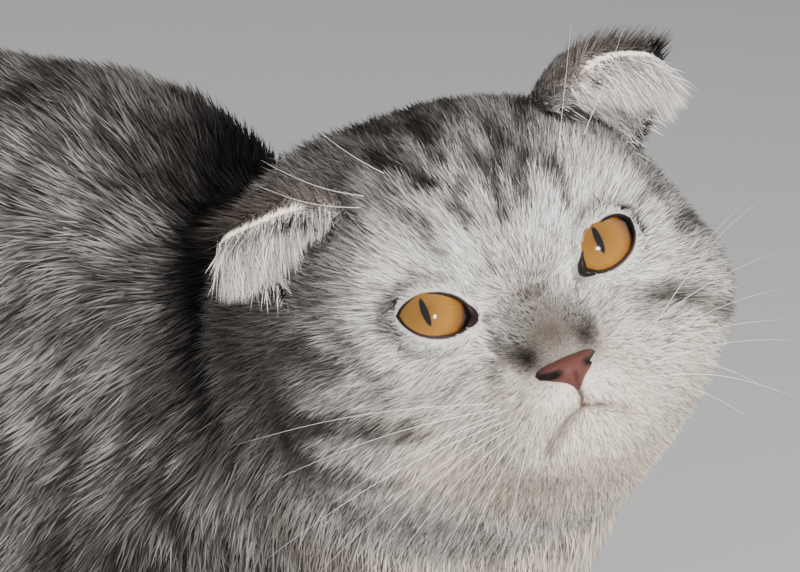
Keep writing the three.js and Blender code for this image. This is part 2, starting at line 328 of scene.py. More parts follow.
@dataclass
class Markings:
    """The silver tabby's colours and pattern, shared by the skin and the coat."""

    pale: np.ndarray = field(default_factory=lambda: linear(232, 227, 220))
    middle: np.ndarray = field(default_factory=lambda: linear(126, 118, 111))
    dark: np.ndarray = field(default_factory=lambda: linear(34, 29, 27))

    def patches(self) -> list[tuple[tuple[float, float, float], float, tuple, float]]:
        """Broad soft patches of the head: place, reach, display colour and strength."""
        middle = [
            ((16, 0, 44), 19, (92, 86, 81), 0.8), ((-16, 0, 46), 38, (66, 60, 57), 0.9),
            ((41, 0, -5), 9, (112, 98, 84), 0.6), ((43, 0, -14), 9, (60, 47, 37), 1.0),
            ((42, -7, -15), 5.5, (34, 27, 22), 0.9), ((42, 7, -15), 5.5, (34, 27, 22), 0.9),
            ((40, 0, -41), 15, (255, 238, 218), 1.0), ((37, 4, 14), 8, (206, 203, 198), 0.3),
        ]
        paired = [
            ((15, 26, 36), 13, (116, 109, 104), 0.85), ((0, 52, 8), 20, (134, 126, 120), 0.8),
            ((0, 57, -12), 20, (94, 86, 80), 0.85), ((-22, 34, 10), 34, (70, 64, 61), 0.9),
            ((36, 24, -15), 9, (104, 98, 92), 0.75), ((42, 9.5, -17.5), 4.5, (16, 13, 12), 1.0),
            ((30, 36, -18), 10, (128, 121, 114), 0.5),
            ((41, 12, -28), 11, (255, 240, 222), 1.0), ((27, 30, -34), 14, (250, 234, 215), 0.9),
            ((20, 14, -48), 18, (255, 238, 218), 1.0), ((36, 13, 9), 6, (230, 227, 222), 0.7),
            ((29, 37, 5), 9, (206, 202, 197), 0.5), ((20, 42, 14), 10, (110, 104, 99), 0.6),
            ((42, 7.5, -17), 4.5, (24, 19, 16), 1.0),
        ]
        both = [
            (mirrored(place, side), reach, colour, strength)
            for side in Side
            for place, reach, colour, strength in paired
        ]
        return middle + both

    def streaks(self) -> list[Streak]:
        """Every dark line of the head."""
        brow = [
            Streak(((22, 14, 37), (26, 11, 33), (31, 9, 28), (34, 6, 24), (36, 3, 20),
                    (39, 1, 12)), 1.6, 0.75),
            Streak(((10, 24, 38), (18, 21, 35), (28, 16, 30), (32, 14, 26), (37, 8, 18),
                    (38, 7, 15)), 1.7, 0.75),
            Streak(((12, -2, 43), (24, -3, 36), (28, -5, 32), (31, -5, 29)), 1.8, 0.75),
            Streak(((14, -16, 39), (27, -13, 31), (29, -12, 29), (32, -12, 26),
                    (34, -9, 24)), 1.8, 0.8),
            Streak(((35, -3, 22), (37, -7, 18), (38, -6, 14)), 1.5, 0.65),
            Streak(((28, 3, 33), (33, 3, 27), (35, 2, 24)), 1.4, 0.65),
            Streak(((34, 16, 19), (36, 16, 15), (36, 16, 10)), 1.5, 0.65),
            Streak(((34, -17, 20), (36, -15, 15), (37, -14, 10)), 1.8, 0.55),
            Streak(((8, 9, 44), (-12, 10, 47), (-34, 9, 40)), 3.0, 0.6),
            Streak(((8, -9, 44), (-12, -10, 47), (-34, -9, 40)), 3.0, 0.6),
            Streak(((5, 0, 46), (-14, 0, 48), (-38, 0, 38)), 2.6, 0.5),
            Streak(((24, -27, 26), (14, -30, 33)), 2.0, 0.4),
            Streak(((24, 27, 26), (14, 30, 33)), 2.0, 0.4),
        ]
        cheeks = [
            Streak(((8, -52, 6), (15, -46, 5), (24, -43, -3)), 2.4, 0.6),
            Streak(((26, -40, 4), (28, -37, -1), (31, -34, -10)), 2.2, 0.45),
            Streak(((12, -54, -10), (24, -46, -14), (30, -32, -23)), 2.4, 0.6),
            Streak(((-4, -56, -6), (8, -52, -20), (22, -40, -32)), 2.6, 0.5),
            Streak(((6, 54, -2), (19, 47, -2), (26, 40, -4)), 2.4, 0.6),
            Streak(((36, 26, -13), (25, 42, -23), (8, 53, -24)), 2.0, 0.55),
            Streak(((38, 13, -6), (38, 19, -11), (37, 25, -15), (33, 33, -19)), 1.4, 0.6),
            Streak(((38, -11, -6), (39, -11.5, -11), (39, -13, -16), (38, -16, -21)), 1.5, 0.5),
            Streak(((28, 35, 5), (22, 41, 6), (12, 49, 8)), 1.6, 0.45),
        ]
        return brow + cheeks

    def whisker_dots(self, head: np.ndarray) -> np.ndarray:
        """Cover of the small dark dots that the whiskers stand in."""
        cover = np.zeros(len(head))
        for side in Side:
            for row, place in itertools.product(range(3), range(4)):
                dot = (41.5 - 1.6 * place, side.value * (12.0 + 2.6 * place), -21.5 - 2.7 * row)
                gap = np.linalg.norm((head - dot) * [0.15, 1.0, 1.0], axis=1)
                cover = np.maximum(cover, 0.6 * (1.0 - ramp(gap, 0.3, 0.95)))
        return cover

    def mixed(self, base: np.ndarray, other: np.ndarray, cover: np.ndarray) -> np.ndarray:
        """Colours moved from a base to another by a cover from 0 to 1."""
        return base + (other - base) * cover[:, None]

    def head_tint(self, head: np.ndarray) -> np.ndarray:
        """Colours at points in the head's axes."""
        wisps = cloud(head / [9.0, 2.6, 6.0] + 40.0, 3)
        mottle = cloud(head / 9.0 + 70.0, 5)
        share = np.clip(0.16 + 0.6 * wisps + 0.36 * mottle, 0.0, 1.0)
        tint = self.mixed(self.middle, self.pale, share)
        for place, reach, colour, strength in self.patches():
            gap = surface_gap(head, np.array(place, float)) / reach
            cover = strength * np.exp(-(gap**2) * 1.3) * (0.8 + 0.4 * mottle)
            tint = self.mixed(tint, linear(*colour), np.clip(cover, 0.0, 1.0))
        for side in Side:
            gap = np.linalg.norm(head - FISSURE.centre(side), axis=1)
            tint = self.mixed(tint, self.pale, (1.0 - ramp(gap, 13.0, 18.0)) * 0.6)
        lines = cloud(head / [14.0, 2.3, 9.0] + 10.0, 19)
        brow = ramp(head[:, 2], 10.0, 24.0) * (1.0 - ramp(np.abs(head[:, 1]), 18.0, 32.0))
        tint = self.mixed(tint, self.dark, 0.6 * brow * ramp(lines, 0.52, 0.8))
        ragged = 0.75 + 0.8 * wisps
        for streak in self.streaks():
            tint = self.mixed(tint, self.dark, np.clip(streak.cover(head) * ragged, 0, 0.93))
        for side in Side:
            corner = np.linalg.norm((head - [38.0, 12.5 * side.value, -4.0]), axis=1)
            tint = self.mixed(tint, self.dark, 0.85 * (1.0 - ramp(corner, 1.8, 4.6)))
        return self.mixed(tint, self.dark, self.whisker_dots(head))

    def body_tint(self, body: np.ndarray) -> np.ndarray:
        """Colours at points in the body's own measures."""
        x, y, z = body.T
        warp = 9.0 * (cloud(body / 22.0 + 20.0, 8)[:, None] - 0.5)
        streaky = cloud((body + warp) / [4.6, 6.5, 15.0] + 30.0, 11)
        patchy = cloud((body + warp) / [9.0, 12.0, 22.0] + 60.0, 13)
        fine = cloud(body / [2.0, 2.4, 5.5] + 90.0, 17)
        level = 0.55 * streaky + 0.45 * patchy + 0.32 * fine
        light = 0.1 + 0.74 * ramp(level, 0.34, 0.98)
        elbow = np.exp(-((x - 77.0) / 34.0) ** 2 - ((z - 60.0) / 18.0) ** 2)
        light = light * (1.0 - 0.6 * elbow)
        spine = (1.0 - ramp(np.abs(y), 4.0, 30.0)) * ramp(z, 120.0, 155.0)
        # Band behind the head that goes almost black: partly dark fur and partly painted shade of
        # the hollow between head and body.
        neck_shade_and_dark_fur = ramp(x + 0.75 * (z - 120.0) + 0.6 * (y + 20.0), 44.0, 66.0)
        neck_shade_and_dark_fur = neck_shade_and_dark_fur * ramp(z, 66.0, 96.0)
        light = light * (1.0 - 0.35 * spine) * (1.0 - 0.95 * neck_shade_and_dark_fur)
        thigh = (1.0 - ramp(x, 20.0, 60.0)) * (1.0 - ramp(z, 60.0, 96.0)) * ramp(z, 14.0, 34.0)
        light = np.clip(light + 0.3 * thigh * (0.3 + 0.7 * fine), 0.0, 1.0)
        # The deep colour goes towards near black under the painted neck shade.
        deep = self.mixed(linear(48, 42, 40), linear(12, 9, 8), neck_shade_and_dark_fur)
        tint = self.mixed(deep, linear(172, 167, 162), light)
        legs = (1.0 - ramp(z, 24.0, 44.0)) * ramp(np.abs(x + 40.0), 10.0, 60.0)
        rings = 0.5 + 0.5 * np.sin(x / 5.5 + 3.0 * patchy)
        tint = self.mixed(tint, self.middle, 0.8 * legs * (1.0 - 0.6 * rings))
        paw = np.maximum(ramp(x, 138.0, 160.0) * (1.0 - ramp(z, 24.0, 40.0)),
                         ramp(x, -50.0, -25.0) * (1.0 - ramp(x, 2.0, 12.0))
                         * (1.0 - ramp(z, 24.0, 36.0)))
        tint = self.mixed(tint, self.pale, 0.75 * paw)
        neck = ramp(x, 98.0, 120.0) * ramp(z, 24.0, 50.0) * (1.0 - ramp(z, 96.0, 124.0))
        tint = self.mixed(tint, linear(150, 140, 131), neck * (0.55 + 0.4 * fine))
        bib = ramp(x, 118.0, 144.0) * ramp(z, 20.0, 45.0)
        tint = self.mixed(tint, linear(255, 240, 222), bib)
        belly = 1.0 - ramp(z, 4.0, 26.0)
        return self.mixed(tint, self.middle, 0.5 * belly)

    def tint(self, points: np.ndarray) -> np.ndarray:
        """Linear colours at points of the model, in metres."""
        head = POSE.to_head(points)
        share = POSE.headness(head)
        body = self.body_tint(POSE.to_body(points))
        return self.mixed(body, self.head_tint(head), share)


@dataclass(frozen=True)
class Comb:
    """How the coat lies: strokes of a comb over the body, and rays from the nose."""

    reach: float = 26.0

    def strokes(self) -> list[tuple[tuple[float, float, float], tuple[float, float, float]]]:
        """Places and directions of strokes, in the body's own measures."""
        middle = [
            ((60, 0, 140), (-1, 0, -0.3)), ((-20, 0, 168), (-1, 0, 0)),
            ((-110, 0, 158), (-1, 0, -0.2)), ((-180, 0, 110), (-0.4, 0, -1)),
            ((150, 0, 90), (0.1, 0, -1)), ((128, 10, 50), (-0.1, 0, -1)),
            ((-185, 0, 55), (-0.5, -0.4, -0.8)), ((-206, -38, 25), (-0.1, -1, 0)),
            ((-196, -92, 20), (0.5, -0.85, 0)), ((-140, -124, 20), (1, -0.2, 0)),
            ((-70, -130, 18), (1, 0, 0)), ((-6, -122, 16), (1, 0.1, 0)),
        ]
        paired = [
            ((-40, 72, 100), (-0.8, 0, -0.6)), ((60, 74, 90), (-0.45, 0, -0.9)),
            ((20, 70, 60), (-0.6, 0, -0.8)), ((-20, 70, 40), (-0.8, 0, -0.4)),
            ((118, 50, 70), (-0.2, 0, -1)), ((-60, 100, 84), (-0.45, 0, -0.9)),
            ((-5, 86, 56), (-0.55, 0, -0.8)), ((-130, 70, 60), (-0.5, 0, -0.9)),
            ((90, 58, 30), (1, -0.15, -0.1)), ((34, 78, 36), (-0.5, 0, -0.7)),
            ((160, 40, 22), (1, 0, -0.3)), ((-60, 90, 22), (1, 0, -0.1)),
            ((-15, 88, 20), (1, 0, -0.3)),
        ]
        both = [
            (mirrored(place, side), mirrored(way, side))
            for side in Side
            for place, way in paired
        ]
        return middle + both

    def lie(self, points: np.ndarray, normals: np.ndarray) -> np.ndarray:
        """Directions in which hairs lie.

        Args:
            points: roots in the model, in metres.
            normals: the skin's normals there.

        Returns:
            Unit vectors along the skin.
        """
        body = POSE.to_body(points)
        way = np.zeros_like(body)
        total = np.zeros(len(body))
        for place, stroke in self.strokes():
            gap = np.linalg.norm(body - np.array(place), axis=1)
            weight = np.exp(-0.5 * (gap / self.reach) ** 2) + 1e-4 / (1.0 + gap / 50.0)
            way += weight[:, None] * unit(np.array(stroke, float))
            total += weight
        way /= total[:, None]
        head = POSE.to_head(points)
        from_nose = head - [44.0, 0.0, -17.0]
        ray = unit(from_nose)
        cheek = ramp(np.abs(head[:, 1]), 24.0, 50.0) * (1.0 - ramp(head[:, 2], -5.0, 20.0))
        ray = ray + cheek[:, None] * np.array([-0.5, 0.0, -0.55])
        crown = ramp(head[:, 2], 10.0, 34.0) * (1.0 - ramp(head[:, 0], 0.0, 30.0))
        ray = ray + crown[:, None] * np.array([-0.8, 0.0, 0.0])
        for side in Side:
            gap = head - FISSURE.centre(side)
            near = 1.0 - ramp(np.linalg.norm(gap, axis=1), 12.0, 19.0)
            near = near * ramp(gap[:, 1] * side.value, -5.0, 5.0)
            outward = unit(gap * [0.0, 1.0, 1.0]) + [0.0, 0.45 * side.value, 0.1]
            ray = ray * (1.0 - 0.6 * near[:, None]) + outward * (0.6 * near[:, None])
        share = POSE.headness(head)[:, None]
        way = unit(way) * (1.0 - share) + (unit(ray) @ POSE.turned.T) * share
        way = way - normals * np.sum(way * normals, axis=1, keepdims=True)
        return unit(way)


MARKINGS = Markings()
COMB = Comb()


class Workbench:
    """Small jobs on Blender objects that every class needs."""

    @staticmethod
    def clear() -> None:
        """Deselects everything."""
        if bpy.context.object and bpy.context.object.mode != "OBJECT":
            bpy.ops.object.mode_set(mode="OBJECT")
        bpy.ops.object.select_all(action="DESELECT")

    @staticmethod
    def pick(piece: bpy.types.Object) -> None:
        """Makes one object the selected and active one."""
        Workbench.clear()
        piece.select_set(True)
        bpy.context.view_layer.objects.active = piece

    @staticmethod
    def mesh(name: str, points: np.ndarray, faces: np.ndarray) -> bpy.types.Object:
        """New object from points in metres and triangles or quads, shaded smooth."""
        data = bpy.data.meshes.new(name)
        count, corners = faces.shape
        data.vertices.add(len(points))
        data.vertices.foreach_set("co", np.ascontiguousarray(points, np.float32).ravel())
        data.loops.add(count * corners)
        data.loops.foreach_set("vertex_index", faces.astype(np.int32).ravel())
        data.polygons.add(count)
        starts = np.arange(0, count * corners, corners, dtype=np.int32)
        data.polygons.foreach_set("loop_start", starts)
        data.polygons.foreach_set("use_smooth", np.ones(count, bool))
        data.update(calc_edges=True)
        data.validate()
        piece = bpy.data.objects.new(name, data)
        bpy.context.scene.collection.objects.link(piece)
        return piece

    @staticmethod
    def points(piece: bpy.types.Object) -> np.ndarray:
        """Vertices of a mesh, in metres."""
        out = np.empty(len(piece.data.vertices) * 3, np.float32)
        piece.data.vertices.foreach_get("co", out)
        return out.reshape(-1, 3).astype(float)

    @staticmethod
    def normals(piece: bpy.types.Object) -> np.ndarray:
        """Vertex normals of a mesh."""
        out = np.empty(len(piece.data.vertices) * 3, np.float32)
        piece.data.vertex_normals.foreach_get("vector", out)
        return out.reshape(-1, 3).astype(float)

    @staticmethod
    def move(piece: bpy.types.Object, points: np.ndarray) -> None:
        """Puts a mesh's vertices at new places."""
        flat = np.ascontiguousarray(points, np.float32).ravel()
        piece.data.vertices.foreach_set("co", flat)
        piece.data.update()

    @staticmethod
    def tint(piece: bpy.types.Object, colours: np.ndarray) -> None:
        """Stores a linear colour for each vertex, or one for them all."""
        layer = piece.data.color_attributes.new(TINT, "FLOAT_COLOR", "POINT")
        full = np.ones((len(piece.data.vertices), 4), np.float32)
        full[:, :3] = colours
        layer.data.foreach_set("color", full.ravel())

    @staticmethod
    def unfold(piece: bpy.types.Object, margin: float) -> None:
        """Shades a skin smooth and lays its faces out on the unwrap, a margin apart."""
        Workbench.pick(piece)
        bpy.ops.object.shade_smooth()
        for layer in list(piece.data.uv_layers):
            piece.data.uv_layers.remove(layer)
        piece.data.uv_layers.new(name=UNWRAP)
        bpy.ops.object.mode_set(mode="EDIT")
        bpy.ops.mesh.select_all(action="SELECT")
        bpy.ops.uv.smart_project(angle_limit=math.radians(60), island_margin=margin)
        bpy.ops.object.mode_set(mode="OBJECT")

    @staticmethod
    def place(piece: bpy.types.Object, finish: bpy.types.Material, slot: str,
              *replaced: str) -> None:
        """Dresses a finished piece and ties it to the frame.

        Args:
            piece: the piece, with its place in its mesh.
            finish: its material.
            slot: the slot of colour that it belongs to; not used.
            replaced: the solids that it's shown instead of.
        """
        piece.data.materials.clear()
        piece.data.materials.append(finish)
        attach(piece, "root")
        if replaced:
            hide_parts(*replaced)
        LOG.info("%s: %d faces", piece.name, len(piece.data.polygons))

    @staticmethod
    def modify(piece: bpy.types.Object, kind: str, **settings: object) -> None:
        """Adds a modifier with its settings and applies it."""
        Workbench.pick(piece)
        modifier = piece.modifiers.new(kind.title(), kind)
        for key, value in settings.items():
            setattr(modifier, key, value)
        bpy.ops.object.modifier_apply(modifier=modifier.name)

    @staticmethod
    def ball(name: str, segments: int, rings: int) -> bpy.types.Object:
        """Unit ball at the origin, for shaping."""
        Workbench.clear()
        bpy.ops.mesh.primitive_uv_sphere_add(segments=segments, ring_count=rings, radius=1.0)
        piece = bpy.context.object
        piece.name = name
        bpy.ops.object.shade_smooth()
        return piece

    @staticmethod
    def copy(node: str) -> bpy.types.Object:
        """Welded copy of a CAD node."""
        source = frame["nodes"][node]
        piece = bpy.data.objects.new(f"{node}_copy", source.data.copy())
        bpy.context.scene.collection.objects.link(piece)
        Workbench.pick(piece)
        bpy.ops.object.mode_set(mode="EDIT")
        bpy.ops.mesh.select_all(action="SELECT")
        bpy.ops.mesh.remove_doubles(threshold=1e-6)
        bpy.ops.object.mode_set(mode="OBJECT")
        return piece

    @staticmethod
    def tube(path: np.ndarray, radii: np.ndarray, around: int, closed: bool) -> tuple:
        """Points and triangles of a tube along a path.

        Args:
            path: the middle line, in metres.
            radii: its radius at each point, in metres.
            around: how many corners it has.
            closed: whether its ends meet.

        Returns:
            Points and triangles, with both ends capped where they don't meet.
        """
        count = len(path)
        ahead = np.roll(path, -1, axis=0) - np.roll(path, 1, axis=0)
        if not closed:
            ahead[0], ahead[-1] = path[1] - path[0], path[-1] - path[-2]
        ahead = unit(ahead)
        aside = unit(np.cross(ahead, [0.31, 0.22, 0.93]))
        above = np.cross(aside, ahead)
        turn = np.linspace(0, 2 * math.pi, around, endpoint=False)
        ring = (np.cos(turn)[None, :, None] * aside[:, None]
                + np.sin(turn)[None, :, None] * above[:, None])
        points = (path[:, None] + ring * radii[:, None, None]).reshape(-1, 3)
        faces = []
        for i in range(count if closed else count - 1):
            for j in range(around):
                here, there = i * around, (i + 1) % count * around
                a, b = here + j, here + (j + 1) % around
                c, d = there + j, there + (j + 1) % around
                faces += [(a, c, b), (b, c, d)]
        if not closed:
            first, last = len(points), len(points) + 1
            points = np.concatenate([points, path[:1], path[-1:]])
            for j in range(around):
                k = (j + 1) % around
                end = (count - 1) * around
                faces += [(first, j, k), (last, end + k, end + j)]
        return points, np.array(faces)


class NodeGroups:
    """Shader effects that several finishes share."""

    _made: dict[str, bpy.types.NodeTree] = {}

    @classmethod
    def hair_tint(cls) -> bpy.types.NodeTree:
        """Stored coat colour with fine light and dark hairs, and a height for a bump."""
        if "HairTint" in cls._made:
            return cls._made["HairTint"]
        tree = bpy.data.node_groups.new("HairTint", "ShaderNodeTree")
        face = tree.interface
        face.new_socket("Hairs per metre", in_out="INPUT", socket_type="NodeSocketFloat")
        face.new_socket("Contrast", in_out="INPUT", socket_type="NodeSocketFloat")
        face.new_socket("Color", in_out="OUTPUT", socket_type="NodeSocketColor")
        face.new_socket("Height", in_out="OUTPUT", socket_type="NodeSocketFloat")
        nodes, links = tree.nodes, tree.links
        given = nodes.new("NodeGroupInput")
        out = nodes.new("NodeGroupOutput")
        stored = nodes.new("ShaderNodeAttribute")
        stored.attribute_name = TINT
        place = nodes.new("ShaderNodeTexCoord")
        grain = nodes.new("ShaderNodeTexNoise")
        grain.inputs["Detail"].default_value = 2.0
        links.new(place.outputs["Object"], grain.inputs["Vector"])
        links.new(given.outputs["Hairs per metre"], grain.inputs["Scale"])
        spread = nodes.new("ShaderNodeMath")
        spread.operation = "MULTIPLY_ADD"
        spread.inputs[2].default_value = 1.0
        centred = nodes.new("ShaderNodeMath")
        centred.operation = "SUBTRACT"
        centred.inputs[1].default_value = 0.5
        links.new(grain.outputs["Fac"], centred.inputs[0])
        links.new(centred.outputs[0], spread.inputs[0])
        links.new(given.outputs["Contrast"], spread.inputs[1])
        scaled = nodes.new("ShaderNodeVectorMath")
        scaled.operation = "SCALE"
        links.new(stored.outputs["Color"], scaled.inputs[0])
        links.new(spread.outputs[0], scaled.inputs["Scale"])
        links.new(scaled.outputs[0], out.inputs["Color"])
        links.new(grain.outputs["Fac"], out.inputs["Height"])
        cls._made["HairTint"] = tree
        return tree


@dataclass(frozen=True)
class HairFinish:
    """Dull coat or skin that takes its colour from the stored markings."""

    name: str
    roughness: float = 0.8
    sheen: float = 0.0
    shine: float = 0.12
    hairs: float = 2500.0
    contrast: float = 0.5
    bump: float = 0.0
    bump_depth: float = 0.0006
    scatter: float = 0.0
    scatter_depth: float = 0.002

    def material(self) -> bpy.types.Material:
        """The finish as a material."""
        made = bpy.data.materials.new(self.name)
        made.use_nodes = True
        nodes, links = made.node_tree.nodes, made.node_tree.links
        shader = nodes["Principled BSDF"]
        shader.inputs["Roughness"].default_value = self.roughness
        shader.inputs["Sheen Weight"].default_value = self.sheen
        shader.inputs["Specular IOR Level"].default_value = self.shine
        shader.inputs["Subsurface Weight"].default_value = self.scatter
        shader.inputs["Subsurface Scale"].default_value = self.scatter_depth
        group = nodes.new("ShaderNodeGroup")
        group.node_tree = NodeGroups.hair_tint()
        group.inputs["Hairs per metre"].default_value = self.hairs
        group.inputs["Contrast"].default_value = self.contrast
        links.new(group.outputs["Color"], shader.inputs["Base Color"])
        if self.bump:
            bump = nodes.new("ShaderNodeBump")
            bump.inputs["Strength"].default_value = self.bump
            bump.inputs["Distance"].default_value = self.bump_depth
            links.new(group.outputs["Height"], bump.inputs["Height"])
            links.new(bump.outputs["Normal"], shader.inputs["Normal"])
        return made


@dataclass(frozen=True)
class MoistFinish(HairFinish):
    """Bare moist skin of the nose and the lids, with fine pebbles for hairs."""

    roughness: float = 0.48
    shine: float = 0.5
    hairs: float = 1500.0
    contrast: float = 0.35
    bump: float = 0.35
    bump_depth: float = 0.0004
    scatter: float = 0.08


@dataclass(frozen=True)
class EyeFinish:
    """Wet amber eye: slit pupil, fibred iris, dark edge and dark white of the eye."""

    iris: float = 8.3
    slit_height: float = 3.0
    slit_width: float = 0.72

    def material(self) -> bpy.types.Material:
        """The finish as a material, on the ball's stored gaze coordinates."""
        made = bpy.data.materials.new("amber_eye")
        made.use_nodes = True
        nodes, links = made.node_tree.nodes, made.node_tree.links
        shader = nodes["Principled BSDF"]
        shader.inputs["Roughness"].default_value = 0.12
        shader.inputs["Coat Weight"].default_value = 1.0
        shader.inputs["Coat Roughness"].default_value = 0.02
        shader.inputs["Specular IOR Level"].default_value = 0.4
        gaze = nodes.new("ShaderNodeAttribute")
        gaze.attribute_name = "Gaze"
        parts = nodes.new("ShaderNodeSeparateXYZ")
        links.new(gaze.outputs["Vector"], parts.inputs[0])

        def math_node(kind: str, first: object, second: object = None) -> object:
            """A Math node's output from sockets or numbers."""
            node = nodes.new("ShaderNodeMath")
            node.operation = kind
            for slot, value in enumerate((first, second)):
                if isinstance(value, (int, float)):
                    node.inputs[slot].default_value = value
                elif value is not None:
                    links.new(value, node.inputs[slot])
            return node.outputs[0]

        across = math_node("POWER", math_node("ABSOLUTE", parts.outputs["Y"]), 2.0)
        upright = math_node("POWER", math_node("ABSOLUTE", parts.outputs["Z"]), 2.0)
        radius = math_node("SQRT", math_node("ADD", across, upright))
        slit = math_node("SQRT", math_node("ADD", math_node("DIVIDE", across, self.slit_width**2),
                                           math_node("DIVIDE", upright, self.slit_height**2)))
        share = math_node("DIVIDE", radius, self.iris)
        rings = nodes.new("ShaderNodeValToRGB")
        stops = [(0.0, linear(88, 59, 17)), (0.2, linear(118, 80, 26)),
                 (0.6, linear(138, 95, 34)), (0.86, linear(110, 68, 22)),
                 (0.95, linear(54, 32, 14)), (1.0, linear(16, 11, 9))]
        rings.color_ramp.elements[0].color = (*stops[0][1], 1.0)
        rings.color_ramp.elements[1].position = stops[-1][0]
        rings.color_ramp.elements[1].color = (*stops[-1][1], 1.0)
        for place, colour in stops[1:-1]:
            rings.color_ramp.elements.new(place).color = (*colour, 1.0)
        links.new(share, rings.inputs["Fac"])
        fibres = nodes.new("ShaderNodeTexNoise")
        fibres.inputs["Scale"].default_value = 1.6
        fibres.inputs["Detail"].default_value = 4.0
        turned = nodes.new("ShaderNodeCombineXYZ")
        links.new(math_node("MULTIPLY", math_node("ARCTAN2", parts.outputs["Z"],
                                                  parts.outputs["Y"]), 9.0), turned.inputs[0])
        links.new(math_node("MULTIPLY", share, 1.6), turned.inputs[1])
        links.new(turned.outputs[0], fibres.inputs["Vector"])
        shade = math_node("ADD", math_node("MULTIPLY", fibres.outputs["Fac"], 0.5), 0.74)
        fibred = nodes.new("ShaderNodeVectorMath")
        fibred.operation = "SCALE"
        links.new(rings.outputs["Color"], fibred.inputs[0])
        links.new(shade, fibred.inputs["Scale"])
        edge = nodes.new("ShaderNodeMapRange")
        edge.inputs["From Min"].default_value = 0.9
        edge.inputs["From Max"].default_value = 1.12
        links.new(slit, edge.inputs["Value"])
        pupil = nodes.new("ShaderNodeMix")
        pupil.data_type = "RGBA"
        pupil.inputs["A"].default_value = (0.004, 0.004, 0.005, 1.0)
        links.new(edge.outputs["Result"], pupil.inputs["Factor"])
        links.new(fibred.outputs[0], pupil.inputs["B"])
        links.new(pupil.outputs["Result"], shader.inputs["Base Color"])
        return made


